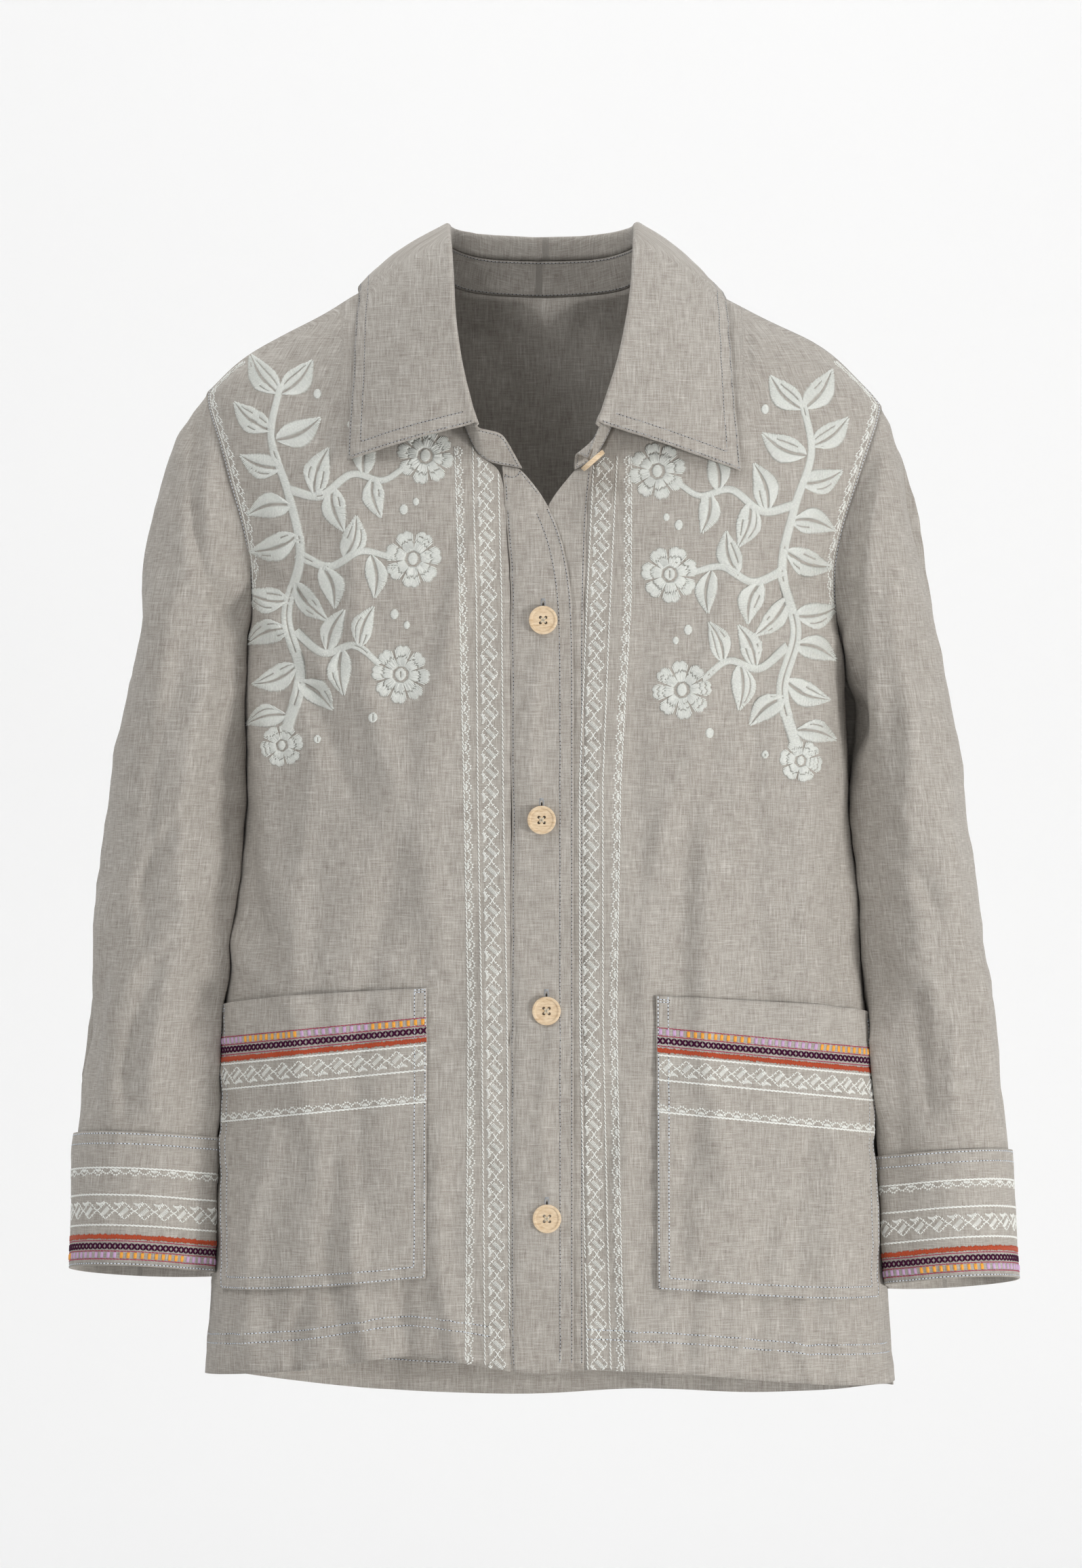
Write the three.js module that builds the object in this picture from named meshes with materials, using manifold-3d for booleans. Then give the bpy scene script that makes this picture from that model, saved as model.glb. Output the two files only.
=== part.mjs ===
// A linen jacket with a folded collar, patch pockets, cuff bands and five wooden buttons, filled out, hollow.
// Millimetres, +Z up, the front faces -Y. The origin is in the middle of the neck, level with its back seam.
// Left and right are as seen from the front.
import * as THREE from "three";
import { mergeVertices } from "three/addons/utils/BufferGeometryUtils.js";
import Module from "manifold-3d";

const wasm = await Module();
wasm.setup();

// Cloth and seams
const clothWall = 1.4;
const doubledWall = 2.0;
const seamGap = 0.32;
const layGap = 0.5;
const squareness = 2.4;
const placketLift = 2.1;
const seamClearance = 0.08;
const standToCollarEnd = 0.6;

// Grid counts
const neckRows = 8;
const armholeRows = 11;
const bodyRows = 24;
const panelColumns = 12;
const lastStation = 10;
const shoulderStation = 4;
const frontCollarStation = 6;

// Half widths of the body seen from the front, down to the hem
const outline = {
  left: [
    { z: 16, x: 66 }, { z: 10, x: 92 }, { z: 3, x: 116 }, { z: -15, x: 145 }, { z: -29, x: 172 },
    { z: -44, x: 197 }, { z: -61, x: 214 }, { z: -70, x: 221 }, { z: -97, x: 219 }, { z: -124, x: 216 },
    { z: -146, x: 210 }, { z: -172, x: 201 }, { z: -194, x: 194.5 }, { z: -215, x: 192.5 },
    { z: -240, x: 193 },
    { z: -347, x: 196 }, { z: -423, x: 203 }, { z: -489, x: 208 }, { z: -548, x: 210 }, { z: -621, x: 214 },
    { z: -705, x: 218 }, { z: -740, x: 219 },
  ],
  right: [
    { z: 16, x: 66 }, { z: 9, x: 92 }, { z: 0, x: 113 }, { z: -19, x: 149 }, { z: -36, x: 184 },
    { z: -58, x: 207 }, { z: -78, x: 222 }, { z: -106, x: 220 }, { z: -132, x: 215 }, { z: -169, x: 203 },
    { z: -191, x: 196 }, { z: -215, x: 194 }, { z: -240, x: 195 }, { z: -318, x: 200 },
    { z: -370, x: 203.5 },
    { z: -453, x: 210 }, { z: -504, x: 215 }, { z: -577, x: 220 }, { z: -705, x: 228 }, { z: -740, x: 230 },
  ],
};

// Depths of the body: where its sides are widest, and how far its front and back reach from there
const depths = [
  { z: 16, middle: 8, front: 15, back: 50 }, { z: 3, middle: 6, front: 28, back: 60 },
  { z: -29, middle: 3, front: 50, back: 76 }, { z: -68, middle: -3, front: 70, back: 88 },
  { z: -120, middle: -10, front: 82, back: 100 }, { z: -200, middle: -15, front: 88, back: 108 },
  { z: -300, middle: -15, front: 86, back: 104 }, { z: -420, middle: -15, front: 84, back: 102 },
  { z: -560, middle: -15, front: 90, back: 108 }, { z: -740, middle: -15, front: 94, back: 112 },
];

// Rows below the armhole start at these heights, and the side seam runs at this angle
const chestZ = { front: -200, back: -190 };
const hemZ = -700;
const sideSeam = { x: 220, angle: 92 };

// The dip of the open neck in the fronts
const neckDip = { depth: 13, foot: -225, span: 110, width: 42 };

// Long soft folds that hang in the panels: a rise above zero stands out, one below zero is a trough
const hangingFolds = [
  { face: "front", x: -79, width: 15, rise: -6, top: -520 },
  { face: "front", x: -128, width: 30, rise: 3, top: -240 },
  { face: "front", x: 96, width: 26, rise: 3.5, top: -260 },
  { face: "front", x: 160, width: 22, rise: -2.5, top: -300 },
  { face: "front", x: 58, width: 16, rise: -2, top: -480 },
  { face: "back", x: -120, width: 28, rise: 6, top: -260 },
  { face: "back", x: -52, width: 24, rise: -5, top: -330 },
  { face: "back", x: 30, width: 28, rise: 5, top: -280 },
  { face: "back", x: 112, width: 26, rise: -5, top: -240 },
];

// Heights of the hem across each face
const hem = {
  front: [
    { x: -220, z: -704 }, { x: -150, z: -698 }, { x: -79, z: -687.5 }, { x: -45, z: -694 },
    { x: -21, z: -698 },
    { x: 6, z: -700 }, { x: 27, z: -697 }, { x: 60, z: -698 }, { x: 115, z: -702 }, { x: 190, z: -709 },
    { x: 230, z: -710 },
  ],
  back: [
    { x: -220, z: -704.5 }, { x: -170, z: -714 }, { x: -110, z: -722 }, { x: 0, z: -726 },
    { x: 70, z: -721 },
    { x: 130, z: -723 }, { x: 190, z: -719 }, { x: 230, z: -710.5 },
  ],
};

// Armhole seam from the shoulder tip, row 0, to the underarm, row 11; angles from the centre front
const armhole = {
  front: [
    { row: 0, z: -66, angle: 83 }, { row: 1, z: -74, angle: 79 }, { row: 2, z: -86, angle: 75 },
    { row: 4, z: -114, angle: 69 }, { row: 6, z: -146, angle: 67 }, { row: 8, z: -180, angle: 71 },
    { row: 10, z: -216, angle: 80 }, { row: 11, z: -230, angle: 92 },
  ],
  back: [
    { row: 0, z: -66, angle: 83 }, { row: 1, z: -70, angle: 94 }, { row: 2, z: -82, angle: 103 },
    { row: 4, z: -112, angle: 113 }, { row: 6, z: -146, angle: 116 }, { row: 8, z: -180, angle: 112 },
    { row: 10, z: -216, angle: 103 }, { row: 11, z: -230, angle: 92 },
  ],
};
const armholeDrop = { left: 0, right: -9 };

// Collar stations from the centre back, 0, to the front end, 10, on one half: neck seam, top of the stand,
// crest of the fold, and the leaf's outer edge on the body
const collarStations = [
  { at: 0, neckX: 0, neckZ: 0, standX: 0, standY: 62, standZ: 24,
    foldX: 0, foldY: 63, foldZ: 40, leafX: 0, leafZ: -30 },
  { at: 1, neckX: 34, neckZ: 1.5, standX: 33, standY: 61, standZ: 25,
    foldX: 33, foldY: 62, foldZ: 41, leafX: 66, leafZ: -26 },
  { at: 2, neckX: 55, neckZ: 5, standX: 53, standY: 53, standZ: 29,
    foldX: 53, foldY: 54, foldZ: 44, leafX: 104, leafZ: -14 },
  { at: 3, neckX: 64, neckZ: 10.5, standX: 61, standY: 34, standZ: 32,
    foldX: 60.5, foldY: 33, foldZ: 45.5, leafX: 119.5, leafZ: -1 },
  { at: 4, neckX: 65.6, neckZ: 15.5, standX: 63, standY: 8, standZ: 33,
    foldX: 62, foldY: 8, foldZ: 46, leafX: 117.5, leafZ: 1.8 },
  { at: 5, neckX: 66.5, neckZ: 7, standX: 62.5, standY: -19, standZ: 25,
    foldX: 61, foldY: -23, foldZ: 36, leafX: 118.5, leafZ: -8 },
  { at: 6, neckX: 65.5, neckZ: -10, standX: 61, standY: -41, standZ: 9,
    foldX: 59.5, foldY: -47, foldZ: 17, leafX: 120.5, leafZ: -26 },
  { at: 7, neckX: 63, neckZ: -36, standX: 59, standY: -63, standZ: -16,
    foldX: 58.5, foldY: -69, foldZ: -9, leafX: 121.5, leafZ: -48 },
  { at: 8, neckX: 58, neckZ: -66, standX: 55, standY: -82, standZ: -47, foldX: 55,
    foldY: -88, foldZ: -41, leafX: 122.5, leafZ: -71 },
  { at: 9, neckX: 49.5, neckZ: -95, standX: 48.5, standY: -94, standZ: -75,
    foldX: 48.5, foldY: -99, foldZ: -70, leafX: 124, leafZ: -94 },
  { at: 10, neckX: 40, neckZ: -113, standX: 43, standY: -98, standZ: -92, foldX: 43,
    foldY: -102, foldZ: -88, leafX: 125, leafZ: -113 },
];
const collarSkew = { left: { endX: 0, leafX: 0, leafZ: 0 }, right: { endX: -6.5, leafX: 2, leafZ: -7 } };
const collarColumnsPerHalf = 20;
const leafBulge = 4;
const leafLoft = 1;
const foldRadius = 2.3;

// The tab that runs on from the stand past the collar's front end: its end corner, and the line that it
// rolls over before that
const tabEnd = {
  left: { corner: [-25.4, -93, -95.5], roll: [-21.3, -91, -103] },
  right: { corner: [29.8, -104, -113.0], roll: [21.5, -99, -107] },
};

// Front edges from the neck down: the seam of the strip, and its free edge
const frontEdges = {
  left: [
    { z: -116, seam: -26, free: -13.2 }, { z: -126, seam: -25.4, free: -5 },
    { z: -136, seam: -24.8, free: 3 },
    { z: -148, seam: -23.8, free: 8 }, { z: -167, seam: -22.4, free: 14 },
    { z: -195, seam: -20.8, free: 19 },
    { z: -216, seam: -20.5, free: 20.3 }, { z: -740, seam: -20.5, free: 20.3 },
  ],
  right: [
    { z: -112, seam: 33, free: 21 }, { z: -121, seam: 32, free: 16 }, { z: -137, seam: 30, free: 3.5 },
    { z: -165, seam: 28.5, free: -6 }, { z: -216, seam: 27, free: -13 }, { z: -740, seam: 27, free: -13 },
  ],
};
const stripTopZ = { left: -118, right: -119 };
const tabStations = { from: 10.5, to: 12 };

// Sleeve sections from the first ring below the armhole, 1, to the cuff's lower edge, 13
const sleeveStations = {
  left: [
    { ring: 1, outerX: -234, outerZ: -89, innerX: -196, innerZ: -238,
      middleY: -8, front: 56, back: 56, tilt: 0 },
    { ring: 2, outerX: -245, outerZ: -128, innerX: -196.6, innerZ: -243,
      middleY: -7, front: 60, back: 61, tilt: 0 },
    { ring: 3, outerX: -253, outerZ: -164, innerX: -197, innerZ: -249,
      middleY: -6, front: 63, back: 64, tilt: 0 },
    { ring: 4, outerX: -259, outerZ: -207, innerX: -197, innerZ: -257,
      middleY: -5, front: 66, back: 66, tilt: 0 },
    { ring: 5, outerX: -264, outerZ: -242, innerX: -197, innerZ: -270,
      middleY: -5, front: 67, back: 67, tilt: 0 },
    { ring: 6, outerX: -273, outerZ: -293, innerX: -197.5, innerZ: -302,
      middleY: -6, front: 64, back: 65, tilt: 0.02 },
    { ring: 7, outerX: -279, outerZ: -337, innerX: -198.6, innerZ: -341,
      middleY: -8, front: 61, back: 62, tilt: 0.04 },
    { ring: 8, outerX: -284, outerZ: -382, innerX: -202, innerZ: -384,
      middleY: -11, front: 57, back: 59, tilt: 0.06 },
    { ring: 9, outerX: -290, outerZ: -423, innerX: -206, innerZ: -424,
      middleY: -14, front: 53, back: 55, tilt: 0.08 },
    { ring: 10, outerX: -297, outerZ: -486, innerX: -211, innerZ: -488,
      middleY: -17, front: 49, back: 50, tilt: 0.1 },
    { ring: 11, outerX: -302.5, outerZ: -549, innerX: -214.5, innerZ: -553,
      middleY: -20, front: 44, back: 45, tilt: 0.12 },
    { ring: 12, outerX: -303.5, outerZ: -564, innerX: -215.5, innerZ: -568,
      middleY: -21, front: 43, back: 44, tilt: 0.12 },
    { ring: 13, outerX: -305.5, outerZ: -636, innerX: -219, innerZ: -640,
      middleY: -24, front: 42, back: 43, tilt: 0.13 },
  ],
  right: [
    { ring: 1, outerX: 234.5, outerZ: -103, innerX: 197.5, innerZ: -238,
      middleY: -8, front: 56, back: 56, tilt: 0 },
    { ring: 2, outerX: 242.5, outerZ: -138, innerX: 198, innerZ: -243,
      middleY: -7, front: 60, back: 61, tilt: 0 },
    { ring: 3, outerX: 248.5, outerZ: -175, innerX: 198.5, innerZ: -250,
      middleY: -6, front: 63, back: 64, tilt: 0 },
    { ring: 4, outerX: 256, outerZ: -213, innerX: 199, innerZ: -260,
      middleY: -5, front: 66, back: 66, tilt: 0 },
    { ring: 5, outerX: 263, outerZ: -250, innerX: 200, innerZ: -276,
      middleY: -5, front: 66, back: 67, tilt: 0 },
    { ring: 6, outerX: 269.5, outerZ: -305, innerX: 203, innerZ: -314,
      middleY: -6, front: 63, back: 64, tilt: 0.02 },
    { ring: 7, outerX: 277, outerZ: -352, innerX: 206, innerZ: -356,
      middleY: -8, front: 60, back: 61, tilt: 0.04 },
    { ring: 8, outerX: 283.5, outerZ: -392, innerX: 209, innerZ: -394,
      middleY: -11, front: 56, back: 58, tilt: 0.06 },
    { ring: 9, outerX: 290, outerZ: -432, innerX: 212, innerZ: -433,
      middleY: -14, front: 52, back: 54, tilt: 0.08 },
    { ring: 10, outerX: 297, outerZ: -496, innerX: 217.5, innerZ: -498,
      middleY: -17, front: 48, back: 49, tilt: 0.1 },
    { ring: 11, outerX: 303.5, outerZ: -560, innerX: 223.5, innerZ: -565,
      middleY: -20, front: 43, back: 44, tilt: 0.12 },
    { ring: 12, outerX: 304.5, outerZ: -575, innerX: 224.5, innerZ: -580,
      middleY: -21, front: 42, back: 43, tilt: 0.12 },
    { ring: 13, outerX: 308, outerZ: -643, innerX: 228.5, innerZ: -648,
      middleY: -24, front: 41, back: 42, tilt: 0.13 },
  ],
};
const cuffTopRing = 11;
const sleeveEndRing = 12;
const cuffEndRing = 13;
const cuffRings = 4;

// Long folds in the sleeves: the angle is measured from the outer line towards the front
const sleeveFolds = {
  left: [
    { angle: 62, width: 17, rise: 4, from: 1, to: 9 }, { angle: 100, width: 18, rise: -3, from: 2, to: 10 },
    { angle: 285, width: 20, rise: 4, from: 2, to: 10 },
  ],
  right: [
    { angle: 74, width: 16, rise: 3.5, from: 3, to: 11 },
    { angle: 112, width: 18, rise: -4, from: 1, to: 9 },
    { angle: 275, width: 20, rise: 4, from: 2, to: 10 },
  ],
};
const foldEase = { from: 2, to: 3 };

// Pocket corners seen from the front, and how far the mouth stands off
const pockets = {
  left: {
    topInner: [74, -452], topOuter: [205.5, -465], bottomInner: [74, -638.5], bottomOuter: [205.5, -648],
  },
  right: {
    topInner: [73, -457], topOuter: [211, -470], bottomInner: [74, -645.5], bottomOuter: [216, -654],
  },
};
const pocketGrid = 10;
const mouthGape = 2.2;
const pocketGap = 0.85;
const pocketBottomRound = 3;

// Buttons
const button = {
  radius: 9.25, back: 8.2, thick: 3, dish: 2.2, rim: 6.4, holeRadius: 0.95, holeSpacing: 1.9,
  backEdge: 1, faceEdge: 2, edgeRound: 0.9, dishSlope: 0.7,
};
const buttonSides = 20;
const holeSides = 6;
const buttonGap = 0.35;
const placketButtons = [
  { x: 0.5, z: -216, sink: 0.85 }, { x: -0.5, z: -344, sink: 0 }, { x: 2.6, z: -467, sink: -0.1 },
  { x: 2.9, z: -600, sink: 0 },
];
const collarButton = { x: 32.6, y: -101.5, z: -113.3, slope: 41 };

const sign = { left: -1, right: 1 };
const linen = new THREE.MeshStandardMaterial({ color: 0xa8a19a, roughness: 0.95, metalness: 0 });
const wood = new THREE.MeshStandardMaterial({ color: 0xe4c696, roughness: 0.5, metalness: 0 });

// A smooth curve without overshoot through a table, from one named column to another
function curve(rows, from, to) {
  const ordered = [...rows].sort((a, b) => a[from] - b[from]);
  const key = ordered.map((row) => row[from]);
  const value = ordered.map((row) => row[to]);
  const slope = key.slice(1).map((next, i) => (value[i + 1] - value[i]) / (next - key[i]));
  const tangent = value.map((_, i) => {
    if (i === 0) return slope[0];
    if (i === value.length - 1) return slope[i - 1];
    if (slope[i - 1] * slope[i] <= 0) return 0;
    return (2 * slope[i - 1] * slope[i]) / (slope[i - 1] + slope[i]);
  });
  return (at) => {
    const place = Math.min(Math.max(at, key[0]), key[key.length - 1]);
    let i = 0;
    while (i < key.length - 2 && place > key[i + 1]) i += 1;
    const span = key[i + 1] - key[i];
    const t = (place - key[i]) / span;
    const start = (1 + 2 * t) * (1 - t) ** 2 * value[i] + t * (1 - t) ** 2 * span * tangent[i];
    return start + t * t * (3 - 2 * t) * value[i + 1] + t * t * (t - 1) * span * tangent[i + 1];
  };
}

// One curve for each named column of a table
function curves(rows, from) {
  const columns = Object.keys(rows[0]).filter((name) => name !== from);
  return Object.fromEntries(columns.map((name) => [name, curve(rows, from, name)]));
}

const halfWidth = { left: curve(outline.left, "z", "x"), right: curve(outline.right, "z", "x") };
const depth = curves(depths, "z");
const hemHeight = { front: curve(hem.front, "x", "z"), back: curve(hem.back, "x", "z") };
const collarAt = curves(collarStations, "at");
const armholeAt = { front: curves(armhole.front, "row"), back: curves(armhole.back, "row") };
const edgeAt = { left: curves(frontEdges.left, "z"), right: curves(frontEdges.right, "z") };
const sleeveAt = { left: curves(sleeveStations.left, "ring"), right: curves(sleeveStations.right, "ring") };

const blend = (a, b, t) => a + (b - a) * t;
const smooth = (t) => {
  const c = Math.min(Math.max(t, 0), 1);
  return c * c * (3 - 2 * c);
};
const bell = (offset, width) => Math.exp(-((offset / width) ** 2));

// How far the hanging folds and the dip of the open neck move the body's surface towards the back
function surfaceShift(face, x, z) {
  let shift = 0;
  for (const fold of hangingFolds) {
    const grown = smooth((fold.top - z) / (fold.top - hemZ));
    const towards = face === "front" ? -fold.rise : fold.rise;
    if (fold.face === face) shift += towards * grown * bell(x - fold.x, fold.width);
  }
  if (face === "front") {
    shift += neckDip.depth * smooth((z - neckDip.foot) / neckDip.span) * bell(x, neckDip.width);
  }
  return shift;
}

// A point of the body: the angle runs from the centre front, 0, over the side, 90, to the centre back, 180
function bodyPoint(side, angle, z) {
  const turn = THREE.MathUtils.degToRad(angle);
  const across = Math.sign(Math.sin(turn)) * Math.abs(Math.sin(turn)) ** (2 / squareness);
  const reach = Math.abs(Math.cos(turn)) ** (2 / squareness);
  const face = Math.cos(turn) > 0 ? "front" : "back";
  const x = sign[side] * halfWidth[side](z) * across;
  const outwards = face === "front" ? -depth.front(z) : depth.back(z);
  return new THREE.Vector3(x, depth.middle(z) + (outwards + surfaceShift(face, x, z)) * reach, z);
}

function bodyNormal(side, angle, z) {
  const step = 0.1;
  const belowPoint = 60;
  const round = bodyPoint(side, angle + step, z).sub(bodyPoint(side, angle - step, z));
  const down = bodyPoint(side, angle, z - step).sub(bodyPoint(side, angle, z + step));
  const normal = round.cross(down).normalize();
  const fromAxis = bodyPoint(side, angle, z).sub(new THREE.Vector3(0, depth.middle(z), z - belowPoint));
  return normal.dot(fromAxis) < 0 ? normal.negate() : normal;
}

// The angle at which the body has a given distance from the middle plane
function angleAt(side, x, z, onBack = false) {
  const share = Math.min((x * sign[side]) / halfWidth[side](z), 1);
  const angle = THREE.MathUtils.radToDeg(Math.asin(Math.sign(share) * Math.abs(share) ** (squareness / 2)));
  return onBack ? 180 - angle : angle;
}

// A point moved out from the body's surface, with the surface's normal there
function onBody(side, angle, z, lift = 0) {
  const normal = bodyNormal(side, angle, z);
  return { point: bodyPoint(side, angle, z).addScaledVector(normal, lift), normal };
}

// A sheet holds points, quads and, where they are known, the normals
function gridSheet(columns, rows, at, { closed = false } = {}) {
  const spots = [];
  const width = closed ? columns : columns + 1;
  for (let j = 0; j <= rows; j += 1) {
    for (let i = 0; i < width; i += 1) spots.push(at(i, j));
  }
  const index = (i, j) => j * width + (i % width);
  const quads = [];
  for (let j = 0; j < rows; j += 1) {
    for (let i = 0; i < columns; i += 1) {
      quads.push([index(i, j), index(i + 1, j), index(i + 1, j + 1), index(i, j + 1)]);
    }
  }
  return { points: spots.map((s) => s.point), normals: spots.map((s) => s.normal), quads };
}

// Area-weighted normals of the quads round each point
function meanNormals({ points, quads }) {
  const normals = points.map(() => new THREE.Vector3());
  for (const [a, b, c, d] of quads) {
    const face = points[c].clone().sub(points[a]).cross(points[d].clone().sub(points[b]));
    for (const k of [a, b, c, d]) normals[k].add(face);
  }
  return normals.map((n) => n.normalize());
}

// Quads turned so that they face the way of the normals
function orient(sheet) {
  const found = meanNormals(sheet);
  const agreement = found.reduce((sum, normal, i) => sum + normal.dot(sheet.normals[i]), 0);
  const quads = agreement < 0 ? sheet.quads.map((quad) => [...quad].reverse()) : sheet.quads;
  return { ...sheet, quads };
}

// Directed edges that only one quad has
function openEdges(quads) {
  const seen = new Set();
  for (const quad of quads) quad.forEach((a, i) => seen.add(`${a},${quad[(i + 1) % 4]}`));
  return [...seen].map((edge) => edge.split(",").map(Number)).filter(([a, b]) => !seen.has(`${b},${a}`));
}

// Every open edge drawn in by half a seam gap, square to the edge and along the cloth
function drawInEdges(sheet, distance = seamGap / 2) {
  const inwards = new Map();
  for (const [a, b] of openEdges(sheet.quads)) {
    const along = sheet.points[b].clone().sub(sheet.points[a]).normalize();
    for (const k of [a, b]) {
      const side = sheet.normals[k].clone().cross(along).normalize();
      inwards.set(k, [...(inwards.get(k) ?? []), side]);
    }
  }
  const points = sheet.points.map((point, k) => {
    const sides = inwards.get(k);
    if (!sides) return point;
    const turn = sides.length > 1 ? 1 + sides[0].dot(sides[1]) : 2;
    const sum = sides.length > 1 ? sides[0].clone().add(sides[1]) : sides[0].clone().multiplyScalar(2);
    return point.clone().addScaledVector(sum, distance / Math.max(turn, 0.5));
  });
  return { ...sheet, points };
}

function geometryOf(vertices, triangles) {
  const geometry = new THREE.BufferGeometry();
  geometry.setAttribute("position", new THREE.Float32BufferAttribute(vertices, 3));
  geometry.setIndex(triangles);
  geometry.computeVertexNormals();
  return geometry;
}

// A sheet given its wall: an outer skin, an inner skin and a rim along every open edge
function clothMesh(name, sheet, wall, material = linen) {
  const { points, normals, quads } = sheet;
  const vertices = [];
  for (const offset of [wall / 2, -wall / 2]) {
    points.forEach((p, i) => vertices.push(...p.clone().addScaledVector(normals[i], offset).toArray()));
  }
  const inner = points.length;
  const triangles = [];
  for (const [a, b, c, d] of quads) {
    triangles.push(a, b, c, a, c, d);
    triangles.push(inner + a, inner + c, inner + b, inner + a, inner + d, inner + c);
  }
  for (const [a, b] of openEdges(quads)) triangles.push(b, a, inner + a, b, inner + a, inner + b);
  const mesh = new THREE.Mesh(geometryOf(vertices, triangles), material);
  mesh.name = name;
  return mesh;
}

// How far a station is on its way from the front of the neck, 0, to the collar's front end, 1
const towardsEnd = (at) => smooth((at - frontCollarStation) / (lastStation - frontCollarStation));

// Stations of the neck seam at a front panel's row and at a back panel's row
const frontStation = (row) => shoulderStation + ((lastStation - shoulderStation) * row) / (neckRows - 1);
const backStation = (row) => shoulderStation - (shoulderStation * row) / neckRows;

// The neck seam on the body at a collar station
function neckPlace(side, at) {
  const z = collarAt.neckZ(at);
  const x = sign[side] * (collarAt.neckX(at) + collarSkew[side].endX * towardsEnd(at));
  return { angle: angleAt(side, x, z, at < shoulderStation), z };
}

const shareBelowArmhole = (row) => (row - armholeRows) / (bodyRows - armholeRows);

// Rows of a front's inner edge: down the neck seam, then down the strip's seam to the hem
function frontInnerPlace(side, row) {
  if (row < neckRows) return neckPlace(side, frontStation(row));
  const top = frontEdges[side][0].z;
  const z = row <= armholeRows
    ? blend(top, chestZ.front, (row - neckRows) / (armholeRows - neckRows))
    : blend(chestZ.front, hemHeight.front(edgeAt[side].seam(hemZ)), shareBelowArmhole(row));
  return { angle: angleAt(side, edgeAt[side].seam(z), z), z };
}

function backInnerPlace(side, row) {
  if (row <= neckRows) return neckPlace(side, backStation(row));
  const z = row <= armholeRows
    ? blend(0, chestZ.back, (row - neckRows) / (armholeRows - neckRows))
    : blend(chestZ.back, hemHeight.back(0), shareBelowArmhole(row));
  return { angle: 180, z };
}

// Rows of a panel's outer edge: down the armhole, then down the side seam
function outerPlace(side, face, row) {
  if (row <= armholeRows) {
    const drop = armholeDrop[side] * (1 - row / armholeRows);
    return { angle: armholeAt[face].angle(row), z: armholeAt[face].z(row) + drop };
  }
  const top = armholeAt[face].z(armholeRows);
  const end = hemHeight[face](sign[side] * sideSeam.x);
  return { angle: sideSeam.angle, z: blend(top, end, shareBelowArmhole(row)) };
}

// A place between a panel's inner and outer edges, eased so that the hem follows its table
function panelPlace(side, face, row, share) {
  const inner = face === "front" ? frontInnerPlace(side, row) : backInnerPlace(side, row);
  const outer = outerPlace(side, face, row);
  const angle = blend(inner.angle, outer.angle, share);
  const flat = blend(inner.z, outer.z, share);
  const grown = smooth(shareBelowArmhole(row));
  const x = bodyPoint(side, angle, flat).x;
  const hemAt = (angleThere, z) => hemHeight[face](bodyPoint(side, angleThere, z).x);
  const straight = blend(hemAt(inner.angle, inner.z), hemAt(outer.angle, outer.z), share);
  return { angle, z: flat + grown * (hemHeight[face](x) - straight) };
}

function frontPanel(side) {
  return orient(gridSheet(panelColumns, bodyRows, (i, j) => {
    const { angle, z } = panelPlace(side, "front", j, i / panelColumns);
    return onBody(side, angle, z);
  }));
}

// The back: two halves that share the points of the centre line
function backPanel() {
  const spots = [];
  const lookup = { left: new Map(), right: new Map() };
  for (const side of ["left", "right"]) {
    for (let j = 0; j <= bodyRows; j += 1) {
      for (let i = 0; i <= panelColumns; i += 1) {
        const shared = side === "right" && i === 0 && j >= neckRows;
        if (shared) {
          lookup.right.set(`${i},${j}`, lookup.left.get(`${i},${j}`));
        } else {
          const { angle, z } = panelPlace(side, "back", j, i / panelColumns);
          lookup[side].set(`${i},${j}`, spots.push(onBody(side, angle, z)) - 1);
        }
      }
    }
  }
  const quads = [];
  for (const side of ["left", "right"]) {
    for (let j = 0; j < bodyRows; j += 1) {
      for (let i = 0; i < panelColumns; i += 1) {
        const corners = [[i, j], [i + 1, j], [i + 1, j + 1], [i, j + 1]];
        const quad = corners.map(([a, b]) => lookup[side].get(`${a},${b}`));
        quads.push(side === "left" ? quad : quad.reverse());
      }
    }
  }
  return orient({ points: spots.map((s) => s.point), normals: spots.map((s) => s.normal), quads });
}

// A buttonhole or button strip between its seam and its free edge; the buttonhole strip rises over the other
function frontStrip(side) {
  const shares = side === "left" ? [0, 0.07, 0.14, 0.4, 0.7, 1] : [0, 0.33, 0.66, 1];
  const raisedShare = 0.14;
  return orient(gridSheet(shares.length - 1, bodyRows - neckRows, (i, j) => {
    const row = neckRows + j;
    const seam = frontInnerPlace(side, row);
    const atTop = j === 0 ? 1 : 0;
    const seamX = edgeAt[side].seam(seam.z);
    const freeX = edgeAt[side].free(seam.z);
    const x = blend(seamX, freeX, shares[i]);
    const hemShift = smooth(shareBelowArmhole(row)) * (hemHeight.front(x) - hemHeight.front(seamX));
    const topShift = j === 0 ? (stripTopZ[side] - seam.z) * shares[i] : 0;
    const z = seam.z + hemShift + topShift;
    const lift = side === "left" ? placketLift * smooth(shares[i] / raisedShare) * (1 - atTop) : 0;
    return onBody(side, angleAt(side, x, z), z, lift);
  }));
}

// The first ring or row of a piece that leaves a seam: clear of the rim, whichever way the cloth turns
function leaveSeam(edge, normal, outOfPanel, towards) {
  const along = normal.clone().cross(outOfPanel);
  const leaving = towards.clone().sub(edge);
  leaving.addScaledVector(along, -leaving.dot(along)).normalize();
  const turn = Math.acos(Math.min(Math.max(leaving.dot(outOfPanel), -1), 1));
  const way = outOfPanel.clone().multiplyScalar(Math.cos(turn / 2));
  way.addScaledVector(normal, Math.sign(leaving.dot(normal)) * Math.sin(turn / 2));
  return edge.clone().addScaledVector(way, seamGap / 2 + seamClearance + clothWall * Math.sin(turn / 2));
}

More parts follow.
